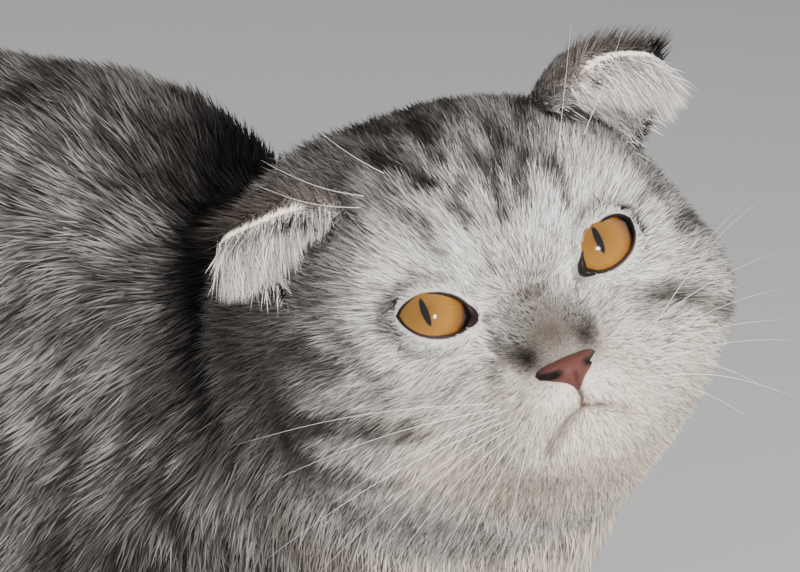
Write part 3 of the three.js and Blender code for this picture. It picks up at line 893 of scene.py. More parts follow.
@dataclass
class Skin:
    """One skin over the whole cat, sunk by the depth of the coat and sculpted."""

    swell: float = 0.7
    voxel: float = 2.3
    body_coat: float = 6.0
    leg_coat: float = 3.2
    tail_coat: float = 3.4
    paw_coat: float = 2.2
    head_coat: float = 3.0
    face_coat: float = 2.0
    sole_coat: float = 1.2
    piece: bpy.types.Object | None = None

    def depth(self, points: np.ndarray) -> np.ndarray:
        """Depth of the coat at points of the model, in millimetres."""
        x, y, z = POSE.to_body(points).T
        head = POSE.to_head(points)
        headness = POSE.headness(head)
        tail = np.maximum(ramp(-y, 96.0, 106.0), ramp(-x, 188.0, 200.0))
        parts = (
            (self.leg_coat, 1.0 - ramp(z, 26.0, 52.0)),
            (self.tail_coat, tail * (1.0 - ramp(z, 34.0, 60.0))),
            (self.paw_coat, ramp(x, 138.0, 150.0) * (1.0 - ramp(z, 30.0, 50.0))),
            (self.head_coat, headness),
            (self.face_coat, ramp(head[:, 0], 18.0, 38.0) * headness),
        )
        depth = np.full(len(points), self.body_coat)
        for coat, share in parts:
            depth = depth + (coat - depth) * share
        return np.where(z < 4.5, np.minimum(depth, self.sole_coat), depth)

    def grow(self) -> None:
        """Joins swollen copies of the solids into one closed net."""
        copies = [Workbench.copy(node) for node in (*FLESH, "eye_left", "eye_right", "nose")]
        for copy in copies:
            swollen = Workbench.points(copy) + Workbench.normals(copy) * self.swell * MM
            Workbench.move(copy, swollen)
        Workbench.clear()
        for copy in copies:
            copy.select_set(True)
        bpy.context.view_layer.objects.active = copies[0]
        bpy.ops.object.join()
        self.piece = bpy.context.object
        self.piece.name = "skin"
        Workbench.modify(self.piece, "REMESH", mode="VOXEL", voxel_size=self.voxel * MM)
        Workbench.modify(self.piece, "SMOOTH", factor=0.6, iterations=12)

    def refine(self, near: float, face: bool) -> None:
        """Splits the faces of the face, or only those near its features."""
        piece = self.piece
        count = len(piece.data.polygons)
        centres = np.empty(count * 3, np.float32)
        piece.data.polygons.foreach_get("center", centres)
        head = POSE.to_head(centres.reshape(-1, 3).astype(float))
        if face:
            chosen = (head[:, 0] > near) & (POSE.headness(head) > 0.5)
        else:
            marks = [FISSURE.centre(side) + [8.0, 0.0, 0.0] for side in Side]
            marks += [np.array([43.0, 0.0, -28.0])]
            gaps = [np.linalg.norm(head - mark, axis=1) for mark in marks]
            chosen = (np.min(gaps, axis=0) < near) & (head[:, 0] > 20.0)
        Workbench.pick(piece)
        bpy.ops.object.mode_set(mode="EDIT")
        bpy.ops.mesh.select_all(action="DESELECT")
        bpy.ops.object.mode_set(mode="OBJECT")
        piece.data.polygons.foreach_set("select", chosen)
        bpy.ops.object.mode_set(mode="EDIT")
        bpy.ops.mesh.select_mode(type="FACE")
        bpy.ops.mesh.subdivide(number_cuts=1, smoothness=0.4, quadcorner="INNERVERT")
        bpy.ops.object.mode_set(mode="OBJECT")

    def sink(self) -> None:
        """Moves the net inward by the coat's depth and evens it."""
        points, normals = Workbench.points(self.piece), Workbench.normals(self.piece)
        depth = (self.depth(points) + self.swell) * MM
        sunk = points - normals * depth[:, None]
        sunk[:, 2] = np.maximum(sunk[:, 2], 0.4 * MM)
        Workbench.move(self.piece, sunk)
        Workbench.modify(self.piece, "SMOOTH", factor=0.5, iterations=4)

    def sculpt(self) -> None:
        """Shapes the lids, the sides of the nose, the mouth and the lip's groove."""
        head = POSE.to_head(Workbench.points(self.piece))
        x, y, z = head[:, 0].copy(), head[:, 1], head[:, 2]
        front = ramp(x, 28.0, 36.0)
        pads = sum(np.exp(-(((y - 7.5 * side.value) / 6.5) ** 2) - ((z + 27.0) / 5.0) ** 2)
                   for side in Side)
        head[:, 0] += 2.6 * pads * front
        lips = np.exp(-(((z - mouth_line(y)) / 1.15) ** 2))
        lips = lips * (1.0 - ramp(np.abs(y), 9.0, 12.5))
        head[:, 0] -= 2.6 * lips * front
        groove = np.exp(-((y / 0.85) ** 2)) * ramp(z, -31.5, -29.5)
        groove = groove * (1.0 - ramp(z, -24.5, -22.0))
        head[:, 0] -= 1.5 * groove * front
        crease = np.exp(-(((np.abs(y) - 9.5 - 0.35 * (z + 20.0)) / 1.6) ** 2))
        crease *= ramp(z, -21.0, -17.0) * (1.0 - ramp(z, -12.0, -6.0))
        head[:, 0] -= 0.8 * crease * front
        for side in Side:
            beyond, reach = FISSURE.outside(head, side)
            centre = FISSURE.centre(side)
            lid = FISSURE.ball + 0.85 + 0.05 * np.maximum(beyond, 0.0)
            inside = ramp(-beyond, -0.35, 0.5)
            target = lid * (1.0 - inside) + (FISSURE.ball - 2.2) * inside
            near = (1.0 - ramp(beyond, 2.2, 7.5)) * (reach < 24.0)
            wanted = reach + (target - reach) * near
            fold = np.exp(-(((beyond - 4.2) / 1.2) ** 2)) * near
            wanted -= 0.35 * fold
            head = centre + unit(head - centre) * wanted[:, None]
        Workbench.move(self.piece, POSE.from_head(head))

    def build(self) -> bpy.types.Object:
        """Makes, dresses and places the skin.

        Returns:
            The skin's object.
        """
        self.grow()
        self.refine(4.0, True)
        self.sink()
        self.refine(17.0, False)
        self.refine(13.0, False)
        self.sculpt()
        Workbench.unfold(self.piece, 0.001)
        Workbench.tint(self.piece, self.bare_tint(Workbench.points(self.piece)))
        finish = HairFinish("skin", hairs=900.0, bump=0.4)
        Workbench.place(self.piece, finish.material(), "coat", *FLESH)
        return self.piece

    def bare_tint(self, points: np.ndarray) -> np.ndarray:
        """Colours of the skin: the markings, dimmed as painted shade under the coat, with dark
        lids and lips.
        """
        head = POSE.to_head(points)
        # The markings at 0.7 are painted shade: the bare skin between the locks is darkened so
        # the gaps read as shadow.
        tint = MARKINGS.tint(points) * 0.7
        for side in Side:
            beyond, reach = FISSURE.outside(head, side)
            cover = (1.0 - ramp(beyond, 0.2, 0.6)) * (reach < 16.0)
            tint = MARKINGS.mixed(tint, linear(30, 20, 17), cover)
        y, z = head[:, 1], head[:, 2]
        lips = np.exp(-(((z - mouth_line(y)) / 0.8) ** 2)) * (1.0 - ramp(np.abs(y), 4.0, 9.5))
        lips *= ramp(head[:, 0], 28.0, 34.0)
        groove = (1.0 - ramp(np.abs(y), 0.35, 0.8)) * ramp(z, -31.5, -30.5)
        groove = groove * (1.0 - ramp(z, -26.5, -25.5)) * ramp(head[:, 0], 34.0, 38.0)
        cover = np.maximum(0.9 * lips, 0.9 * groove)
        return MARKINGS.mixed(tint, linear(70, 46, 40), cover)


@dataclass(frozen=True)
class Eyes:
    """Eyeballs with a swollen cornea, and the dark edges of their lids."""

    cornea: float = 1.1
    rim_bends: int = 96
    gaze: tuple[tuple[Side, tuple[float, float, float]], ...] = (
        (Side.LEFT, (0.985, -0.12, 0.17)),
        (Side.RIGHT, (0.93, -0.34, 0.17)),
    )

    def ball(self, side: Side, way: tuple[float, float, float]) -> None:
        """One eyeball that looks along a direction in the head's axes."""
        piece = Workbench.ball(f"eyeball_{side.word}", 96, 64)
        forward = unit(np.array(way))
        aside = unit(np.cross([0.0, 0.0, 1.0], forward))
        above = np.cross(forward, aside)
        local = Workbench.points(piece)[:, [2, 0, 1]]
        angle = np.degrees(np.arccos(np.clip(local[:, 0], -1, 1)))
        swell = self.cornea * (1.0 - ramp(angle, 8.0, 54.0))
        radius = FISSURE.ball + swell
        placed = (local * radius[:, None]) @ np.array([forward, aside, above])
        Workbench.move(piece, POSE.from_head(FISSURE.centre(side) + placed))
        layer = piece.data.attributes.new("Gaze", "FLOAT_VECTOR", "POINT")
        shown = local * FISSURE.ball
        layer.data.foreach_set("vector", np.ascontiguousarray(shown, np.float32).ravel())
        Workbench.place(piece, EyeFinish().material(), "eye", f"eye_{side.word}")

    def lid_edge(self, side: Side) -> None:
        """The dark bare edge that runs round one eye's opening, with its inner corner."""
        path = FISSURE.rim(side, self.rim_bends, 0.55)
        share = np.cos(np.linspace(0, 2 * math.pi, self.rim_bends, endpoint=False))
        radii = (0.4 + 0.85 * ramp(-share, 0.68, 0.96)) * MM
        points, faces = Workbench.tube(POSE.from_head(path), radii, 8, True)
        piece = Workbench.mesh(f"lid_edge_{side.word}", points, faces)
        Workbench.modify(piece, "SMOOTH", factor=0.4, iterations=3)
        head = POSE.to_head(Workbench.points(piece))
        across = (head - FISSURE.centre(side)) @ FISSURE.axes(side)[2]
        low = (1.0 - ramp(across, -5.2, -2.5))[:, None]
        tint = linear(26, 17, 15) * (1.0 - low) + linear(52, 34, 29) * low
        Workbench.tint(piece, tint)
        finish = MoistFinish("lid_skin", roughness=0.3, hairs=1200.0, bump=0.2)
        Workbench.place(piece, finish.material(), "bare_skin")

    def build(self) -> None:
        """Makes both eyes."""
        for side, way in self.gaze:
            self.ball(side, way)
            self.lid_edge(side)


@dataclass(frozen=True)
class NoseLeather:
    """Bare pink-brown nose pad with two nostrils and the groove below it."""

    top: float = -18.9
    bottom: float = -26.9
    front: float = 46.4
    thick: float = 5.0

    def half_width(self, fall: np.ndarray) -> np.ndarray:
        """Half width of the pad at shares of its height from the top, in millimetres."""
        return np.interp(fall, [0.0, 0.05, 0.14, 0.3, 0.48, 0.7, 0.92, 1.0],
                         [5.0, 6.8, 7.6, 7.3, 5.4, 2.9, 1.3, 0.5])

    def build(self) -> None:
        """Shapes a ball to the pad's outline and sinks the nostrils."""
        piece = Workbench.ball("nose_leather", 96, 72)
        ball = Workbench.points(piece)
        across, forward, upright = ball[:, 0], -ball[:, 1], ball[:, 2]
        fall = (1.0 - upright) / 2.0
        rim = np.sqrt(np.maximum(1.0 - upright**2, 1e-6))
        y = across / rim * self.half_width(fall)
        z = self.top + (self.bottom - self.top) * fall
        z = z - 0.5 * np.abs(y / 7.0) ** 1.5 * (1.0 - fall)
        face = np.maximum(forward / rim, 0.0) ** 0.55 * np.sqrt(rim)
        x = self.front - self.thick + self.thick * np.where(forward > 0, face, forward)
        x = x - 1.2 * fall**1.5 - 0.02 * y**2
        x = x - 1.5 * self.nostrils(y, z) * (forward > 0)
        groove = np.exp(-((y / 0.55) ** 2)) * ramp(fall, 0.35, 0.6)
        x = x - 0.7 * groove * (1.0 - ramp(fall, 0.7, 0.85)) * (forward > 0)
        Workbench.move(piece, POSE.from_head(np.stack([x, y, z], axis=1)))
        lip = np.clip(1.0 - (self.half_width(fall) - np.abs(y)) / 1.3, 0.0, 1.0) * 0.5
        pink = MARKINGS.mixed(linear(86, 50, 43), linear(60, 34, 29), lip)
        parting = (1.0 - ramp(np.abs(y), 0.2, 0.7)) * ramp(fall, 0.35, 0.6)
        pink = MARKINGS.mixed(pink, linear(70, 38, 34), 0.8 * parting)
        # Nostrils painted near black: painted shade inside the shallow sunken openings.
        nostril_shade = np.clip(1.7 * self.nostrils(y, z), 0.0, 1.0)
        Workbench.tint(piece, MARKINGS.mixed(pink, linear(20, 10, 9), nostril_shade))
        Workbench.place(piece, MoistFinish("nose_leather").material(), "bare_skin", "nose")

    def nostrils(self, y: np.ndarray, z: np.ndarray) -> np.ndarray:
        """How deep each point lies in a nostril, from 0 to 1."""
        depth = np.zeros(len(y))
        for side in Side:
            along, rise = y * side.value - 5.2, z + 21.6
            bowed = rise - 0.22 * along - 0.10 * along**2
            depth += np.exp(-((along / 2.3) ** 4) - (bowed / 0.85) ** 2)
        return np.clip(depth, 0.0, 1.0)


@dataclass(frozen=True)
class LockStyle:
    """Size and lie of one kind of lock, in millimetres, for each root or for them all, with its
    colour's scale at the root (painted shade) and at the tip.
    """

    length: np.ndarray | float
    width: np.ndarray | float
    rise: np.ndarray | float
    # The root's scale is painted shade between the locks. The tip's scale is partly the hair's
    # own lighter tip and partly painted light.
    root_shade: float = 0.55
    tip_shade: float = 1.3


class Locks:
    """Many locks of hair as one mesh, each a closed spike with four corners."""

    FACES = np.array([(0, 1, 2), (3, 1, 0), (3, 2, 1), (3, 0, 2)])
    DARK_SHARE = 0.4
    DARK, LIGHT = 0.4, 1.25
    BRIGHTEST = 0.94
    PATCH = 0.003

    @classmethod
    def build(cls, name: str, roots: "Roots", way: np.ndarray, style: LockStyle,
              tint: np.ndarray, seed: int) -> bpy.types.Object:
        """Makes the locks.

        Args:
            name: the piece's name.
            roots: where the locks stand.
            way: the direction that each lies in.
            style: their sizes.
            tint: their linear colours.
            seed: the seed of their small differences.

        Returns:
            The piece, with colours, its unwrap and normals near the skin's.
        """
        rng = np.random.default_rng(seed)
        count = len(roots.points)
        normal = roots.normals
        clump = cloud(roots.points / (4.0 * MM) + 15.0, seed) - 0.5
        side = unit(np.cross(normal, way))
        way = unit(way + side * (rng.normal(0.0, 0.13, (count, 1)) + 0.5 * clump[:, None]))
        side = unit(np.cross(normal, way))
        length, width, rise = (np.broadcast_to(size, count)[:, None]
                               for size in (style.length, style.width, style.rise))
        length = length * MM * rng.uniform(0.7, 1.2, (count, 1))
        width = width * MM * rng.uniform(0.7, 1.25, (count, 1))
        rise = rise * rng.uniform(0.5, 1.4, (count, 1))
        base = roots.points - normal * 0.3 * MM
        tip = roots.points + way * length + normal * length * rise
        tip = tip + side * length * rng.normal(0.0, 0.07, (count, 1))
        corners = np.stack([
            base + side * width * 0.5, base - side * width * 0.5,
            base - way * width * 0.3 + normal * width * 0.55, tip], axis=1)
        points = corners.reshape(-1, 3)
        points[:, 2] = np.maximum(points[:, 2], 0.15 * MM)
        faces = (cls.FACES[None] + 4 * np.arange(count)[:, None, None]).reshape(-1, 3)
        piece = Workbench.mesh(name, points, faces)
        own = np.where(rng.uniform(size=(count, 1)) < cls.DARK_SHARE, cls.DARK, cls.LIGHT)
        own = own * rng.normal(1.0, 0.16, (count, 1))
        # Painted shade at each lock's root and painted light with the hair's own lighter tone at
        # its tip; the raised root corner is a tenth lighter.
        low, high = tint * style.root_shade * own, tint * style.tip_shade * own
        colours = np.stack([low, low, low * 1.1, high], axis=1).reshape(-1, 3)
        over = np.maximum(1.0, colours.max(axis=1, keepdims=True) / cls.BRIGHTEST)
        Workbench.tint(piece, np.clip(colours / over, 0.0, 1.0))
        cls.unwrap(piece, roots.unwrap, faces)
        lean = rng.normal(0.0, 0.18, (count, 3))
        soft = np.stack([
            normal + 0.45 * side + lean, normal - 0.45 * side + lean,
            normal + lean, normal + 0.25 * way + lean], axis=1)
        piece.data.normals_split_custom_set_from_vertices(unit(soft.reshape(-1, 3)))
        return piece

    @staticmethod
    def unwrap(piece: bpy.types.Object, places: np.ndarray, faces: np.ndarray) -> None:
        """Gives each lock a small patch at its root's place on the skin's unwrap."""
        spread = Locks.PATCH / 2 * np.array([(-1, -1), (1, -1), (0, 0), (0, 1)])
        corners = np.clip(places[:, None] + spread[None], 0.0, 1.0).reshape(-1, 2)
        layer = piece.data.uv_layers.new(name=UNWRAP)
        flat = np.ascontiguousarray(corners[faces.ravel()], np.float32).ravel()
        layer.data.foreach_set("uv", flat)


@dataclass
class Roots:
    """Places on a skin where locks stand."""

    points: np.ndarray
    normals: np.ndarray
    unwrap: np.ndarray

    def only(self, chosen: np.ndarray) -> "Roots":
        """The chosen places."""
        return Roots(self.points[chosen], self.normals[chosen], self.unwrap[chosen])


class Field:
    """A skin's triangles, ready for roots to be sown on it."""

    def __init__(self, piece: bpy.types.Object) -> None:
        """Reads the skin's triangles, normals and unwrap."""
        data = piece.data
        data.calc_loop_triangles()
        count = len(data.loop_triangles)
        corners = np.empty(count * 3, np.int32)
        data.loop_triangles.foreach_get("vertices", corners)
        loops = np.empty(count * 3, np.int32)
        data.loop_triangles.foreach_get("loops", loops)
        points, normals = Workbench.points(piece), Workbench.normals(piece)
        self.points = points[corners].reshape(-1, 3, 3)
        self.normals = normals[corners].reshape(-1, 3, 3)
        unwrap = np.empty(len(data.loops) * 2, np.float32)
        data.uv_layers[UNWRAP].data.foreach_get("uv", unwrap)
        self.unwrap = unwrap.reshape(-1, 2)[loops].reshape(-1, 3, 2)
        a, b, c = self.points[:, 0], self.points[:, 1], self.points[:, 2]
        self.areas = 0.5 * np.linalg.norm(np.cross(b - a, c - a), axis=1)
        self.centres = self.points.mean(axis=1)

    def sow(self, weight: np.ndarray, count: int, seed: int) -> Roots:
        """Places spread at random over the skin.

        Args:
            weight: how densely each triangle is sown.
            count: how many places.
            seed: the seed of the spread.

        Returns:
            The places.
        """
        rng = np.random.default_rng(seed)
        share = np.cumsum(self.areas * weight)
        picks = np.searchsorted(share, rng.uniform(0, share[-1], count))
        first, second = rng.uniform(size=(2, count))
        root = np.sqrt(first)
        bary = np.stack([1 - root, root * (1 - second), root * second], axis=1)[:, :, None]
        return Roots(
            np.sum(self.points[picks] * bary, axis=1),
            unit(np.sum(self.normals[picks] * bary, axis=1)),
            np.sum(self.unwrap[picks] * bary, axis=1),
        )


@dataclass
class Coat:
    """The cat's fur: fine short locks on the face and longer ones on the body."""

    head_locks: int = 160000
    body_locks: int = 190000
    most: int = 47000
    quick_share: float = 0.12

    def bare(self, head: np.ndarray) -> np.ndarray:
        """Where no hair grows: the lids' edges, the nose and the lips, from 0 to 1."""
        bare = np.zeros(len(head))
        for side in Side:
            beyond, reach = FISSURE.outside(head, side)
            bare = np.maximum(bare, (1.0 - ramp(beyond, 0.3, 0.85)) * (reach < 16.0))
        x, y, z = head.T
        nose = NoseLeather()
        fall = (z - nose.top) / (nose.bottom - nose.top)
        width = nose.half_width(np.clip(fall, 0.0, 1.0))
        on_nose = (np.abs(y) < width - 0.2) & (fall > 0.0) & (fall < 1.0) & (x > 36.0)
        on_lips = (np.abs(z - mouth_line(y)) < 0.45) & (np.abs(y) < 6.5) & (x > 34.0)
        on_groove = (np.abs(y) < 0.4) & (z < -26.0) & (z > -31.0) & (x > 36.0)
        return np.maximum(bare, (on_nose | on_lips | on_groove).astype(float))

    def head_style(self, head: np.ndarray) -> LockStyle:
        """Sizes of the head's locks by their place."""
        x, y, z = head.T
        nose_gap = np.linalg.norm(head - [44.0, 0.0, -18.0], axis=1)
        eye_gap = np.min([FISSURE.outside(head, side)[0] for side in Side], axis=0)
        length = 2.6 + 4.0 * ramp(nose_gap, 8.0, 46.0) + 4.0 * ramp(-x, -8.0, 26.0)
        length = length + 2.0 * ramp(np.abs(y), 40.0, 56.0)
        length = length * (0.4 + 0.6 * ramp(eye_gap, 0.5, 7.0))
        length = length * (0.55 + 0.45 * ramp(nose_gap, 5.0, 16.0))
        width = 0.30 + 0.26 * ramp(nose_gap, 12.0, 60.0)
        rise = 0.17 + 0.14 * ramp(nose_gap, 10.0, 45.0)
        rise = rise * (0.6 + 0.4 * ramp(eye_gap, 0.5, 6.0))
        return LockStyle(length, width, rise, 0.42, 1.28)

    def body_style(self, depth: np.ndarray) -> LockStyle:
        """Sizes of the body's locks by the coat's depth at their place."""
        return LockStyle(3.4 + depth, 0.42 + 0.06 * depth, 0.2 + 0.022 * depth, 0.5, 1.25)

    def plant(self, name: str, roots: Roots, style_of: Callable[[Roots], LockStyle],
              seed: int) -> None:
        """Splits roots into pieces and grows their locks.

        Args:
            name: the part of the cat that they cover.
            roots: where the locks stand.
            style_of: gives the locks' sizes at some of the roots.
            seed: the seed of the locks' small differences.
        """
        pieces = math.ceil(len(roots.points) / self.most)
        order = np.argsort(POSE.to_body(roots.points)[:, 0 if name != "face" else 1])
        finish = bpy.data.materials.get("fur") or HairFinish("fur").material()
        for number, chosen in enumerate(np.array_split(order, pieces), 1):
            part = roots.only(chosen)
            way = COMB.lie(part.points, part.normals)
            tint = MARKINGS.tint(part.points)
            piece = Locks.build(f"coat_{name}_{number}", part, way, style_of(part), tint,
                                seed + number)
            Workbench.place(piece, finish, "coat")

    def build(self, skin: Skin) -> None:
        """Sows and grows the whole coat."""
        ground = Field(skin.piece)
        head = POSE.to_head(ground.centres)
        headness = POSE.headness(head)
        share = 1.0
        face = headness * (1.0 - self.bare(head)) * (0.3 + 0.7 * ramp(head[:, 0], -12.0, 22.0))
        roots = ground.sow(face, int(self.head_locks * share), 5)
        roots = roots.only(self.bare(POSE.to_head(roots.points)) < 0.5)
        self.plant("face", roots, lambda part: self.head_style(POSE.to_head(part.points)), 50)
        above = ramp(ground.centres[:, 2], 1.0 * MM, 3.0 * MM)
        shown = 0.75 + 0.25 * ramp(-ground.normals[:, 0, 1] + 0.4, -0.2, 0.4)
        body = (1.0 - headness) * above * shown
        roots = ground.sow(body, int(self.body_locks * share), 9)
        self.plant("body", roots, lambda part: self.body_style(skin.depth(part.points)), 80)


@dataclass(frozen=True)
class EarShape:
    """The free edge of a folded ear, from its front root over the tip to its lower root."""

    uneven: float = 2.5
    bends: tuple[tuple[float, float, float, float], ...] = (
        (21, 30.5, 34, 1), (20, 38, 37, 1), (18, 46.5, 37.5, 1),
        (13.5, 57, 34.8, 0.3), (10, 53.5, 28, 0), (6, 50, 19, 0),
    )
    foot: tuple[tuple[float, float, float, float], ...] = (
        (21, 30.5, 34, 1), (12, 30, 38, 0.6), (-5, 31, 38, 0), (-9, 42, 30, 0), (6, 50, 19, 0),
    )

    def hollow(self, side: Side) -> np.ndarray:
        """Middle of the ear's opening in the head's axes."""
        return np.array(mirrored((10.0, 42.0, 27.0), side))

    def edge(self, side: Side, shares: np.ndarray, foot: bool = False) -> np.ndarray:
        """Points of the free edge, or of the line where the ear meets the head.

        Args:
            side: which ear.
            shares: places along the line from 0 to 1.
            foot: whether it's the line on the head.

        Returns:
            One point for each share, in the head's axes.
        """
        run = np.array(self.foot if foot else self.bends, float)
        lift = side.value * self.uneven * run[:, 3]
        run = np.stack([run[:, 0], run[:, 1] * side.value, run[:, 2] + lift], axis=1)
        padded = np.concatenate([2 * run[:1] - run[1:2], run, 2 * run[-1:] - run[-2:-1]])
        place = np.clip(shares, 0.0, 0.9999) * (len(run) - 1)
        cell = place.astype(int)
        t = (place - cell)[:, None]
        a, b, c, d = (padded[cell + step] for step in range(4))
        return 0.5 * (2 * b + (c - a) * t + (2 * a - 5 * b + 4 * c - d) * t**2
                      + (3 * b - a - 3 * c + d) * t**3)


@dataclass(frozen=True)
class Ears:
    """Folded ears: a thin skin with short fur outside and long pale hair in the opening."""

    shape: EarShape = EarShape()
    back_locks: int = 6500
    fringe_locks: int = 900
    inner_locks: int = 2200
    curtain_locks: int = 2600

    def build(self) -> None:
        """Makes both ears."""
        for side in Side:
            self.ear(side)

    def ear(self, side: Side) -> None:
        """One ear's skin and all its hair."""
        piece = Workbench.copy(f"ear_{side.word}")
        piece.name = f"ear_skin_{side.word}"
        Workbench.modify(piece, "REMESH", mode="VOXEL", voxel_size=0.75 * MM)
        Workbench.modify(piece, "SMOOTH", factor=0.5, iterations=8)
        Workbench.unfold(piece, 0.002)
        head = POSE.to_head(Workbench.points(piece))
        foot = self.shape.edge(side, np.linspace(0.0, 1.0, 50), True)
        gap = np.min(np.linalg.norm(head[:, None] - foot[None], axis=2), axis=1)
        sunk = 6.5 * (1.0 - ramp(gap, 0.0, 9.0))
        head = head - unit(head - [-8.0, 0.0, 6.0]) * sunk[:, None]
        Workbench.move(piece, POSE.from_head(head))
        inner = 1.0 - self.outside(head, Workbench.normals(piece), side)
        rim = 1.0 - ramp(self.edge_gap(head, side), 1.4, 2.8)
        tint = MARKINGS.mixed(linear(112, 104, 98), linear(214, 200, 188), inner)
        Workbench.tint(piece, MARKINGS.mixed(tint, linear(236, 218, 198), rim))
        finish = HairFinish("ear_skin", 0.7, 0.1, hairs=1400.0, contrast=0.3, bump=0.3)
        Workbench.place(piece, finish.material(), "ear_coat", f"ear_{side.word}")
        self.fur(piece, side)
        self.curtain(side)

    def outside(self, head: np.ndarray, normals: np.ndarray, side: Side) -> np.ndarray:
        """How much points of the ear face away from its opening, from 0 to 1."""
        away = unit(head - self.shape.hollow(side))
        return ramp(np.sum(away * (normals @ POSE.turned), axis=1), -0.1, 0.3)

    def edge_gap(self, head: np.ndarray, side: Side) -> np.ndarray:
        """Distances of points from the ear's free edge, in millimetres."""
        line = self.shape.edge(side, np.linspace(0.0, 0.85, 60))
        return np.min(np.linalg.norm(head[:, None] - line[None], axis=2), axis=1)

    def grow(self, kind: str, side: Side, roots: Roots, way: tuple[float, float, float],
             style: LockStyle, tint: np.ndarray, seed: int) -> None:
        """Grows one kind of the ear's hair.

        Args:
            kind: what the hair is called.
            side: which ear.
            roots: where it stands.
            way: the direction that it's combed in on the left ear, in the head's axes.
            style: its sizes.
            tint: its linear colour.
            seed: the seed of its small differences.
        """
        comb = unit(np.array(mirrored(way, side), float)) @ POSE.turned.T
        lie = np.tile(comb, (len(roots.points), 1))
        lie = lie - 0.8 * roots.normals * np.sum(lie * roots.normals, axis=1, keepdims=True)
        piece = Locks.build(f"ear_{kind}_{side.word}", roots, unit(lie), style, tint, seed)
        Workbench.place(piece, bpy.data.materials["fur"], "ear_coat")

    def fur(self, skin: bpy.types.Object, side: Side) -> None:
        """Short fur of the ear's back, the dark fringe by its edge and the fur within."""
        ground = Field(skin)
        head = POSE.to_head(ground.centres)
        outer = self.outside(head, unit(ground.normals.mean(axis=1)), side)
        gap = self.edge_gap(head, side)
        roots = ground.sow(outer * ramp(gap, 1.2, 2.4), self.back_locks, 21)
        place = POSE.to_head(roots.points)
        near = 1.0 - ramp(self.edge_gap(place, side), 2.0, 6.0)
        front = 1.0 - ramp(np.abs(place[:, 1]), 33.0, 42.0)
        tint = MARKINGS.mixed(linear(116, 109, 104), linear(150, 145, 139), 0.8 * front)
        style = LockStyle(5.4 - 2.4 * near, 0.42, 0.24, 0.5, 1.2)
        self.grow("fur", side, roots, (0.8, 0.35, -0.2), style, tint, 31)
        fringe = ramp(gap, 1.4, 2.2) * (1.0 - ramp(gap, 4.0, 6.5)) * ramp(head[:, 2], 28, 32)
        roots = ground.sow(outer * fringe, self.fringe_locks, 23)
        style = LockStyle(5.0, 0.3, 0.75, 0.7, 1.1)
        self.grow("fringe", side, roots, (0.1, 0.6, 0.35), style, linear(104, 94, 88), 33)
        roots = ground.sow((1.0 - outer) * ramp(gap, 0.3, 1.2), self.inner_locks, 25)
        style = LockStyle(7.0, 0.36, 0.3, 0.65, 1.1)
        self.grow("lining", side, roots, (0.3, 0.5, -0.8), style, linear(214, 208, 202), 35)

    def curtain(self, side: Side) -> None:
        """Long pale hair that hangs from the inner side of the edge over the opening."""
        rng = np.random.default_rng(41 + side.value)
        count = self.curtain_locks
        share = rng.uniform(0.02, 0.7, count)
        edge = self.shape.edge(side, share)
        inward = unit(self.shape.hollow(side) - edge)
        depth = rng.uniform(0.8, 3.0, (count, 1))
        depth = depth + 4.0 * rng.uniform(size=(count, 1)) * share[:, None]
        starts = edge + inward * depth + rng.normal(0.0, 0.5, (count, 3))
        facing = np.array(mirrored((0.85, 0.35, -0.2), side))
        facing = unit(facing + rng.normal(0.0, 0.05, (count, 3)))
        roots = Roots(POSE.from_head(starts), facing @ POSE.turned.T,
                      np.stack([0.1 + 0.8 * share, 0.1 + 0.1 * depth[:, 0]], axis=1))
        length = 4.5 + 8.5 * ramp(share, 0.02, 0.36) - 3.0 * ramp(share, 0.5, 0.7)
        style = LockStyle(length, 0.27, 0.08, 0.7, 1.1)
        self.grow("curtain", side, roots, (0.1, 0.42, -0.9), style, linear(200, 193, 186), 37)


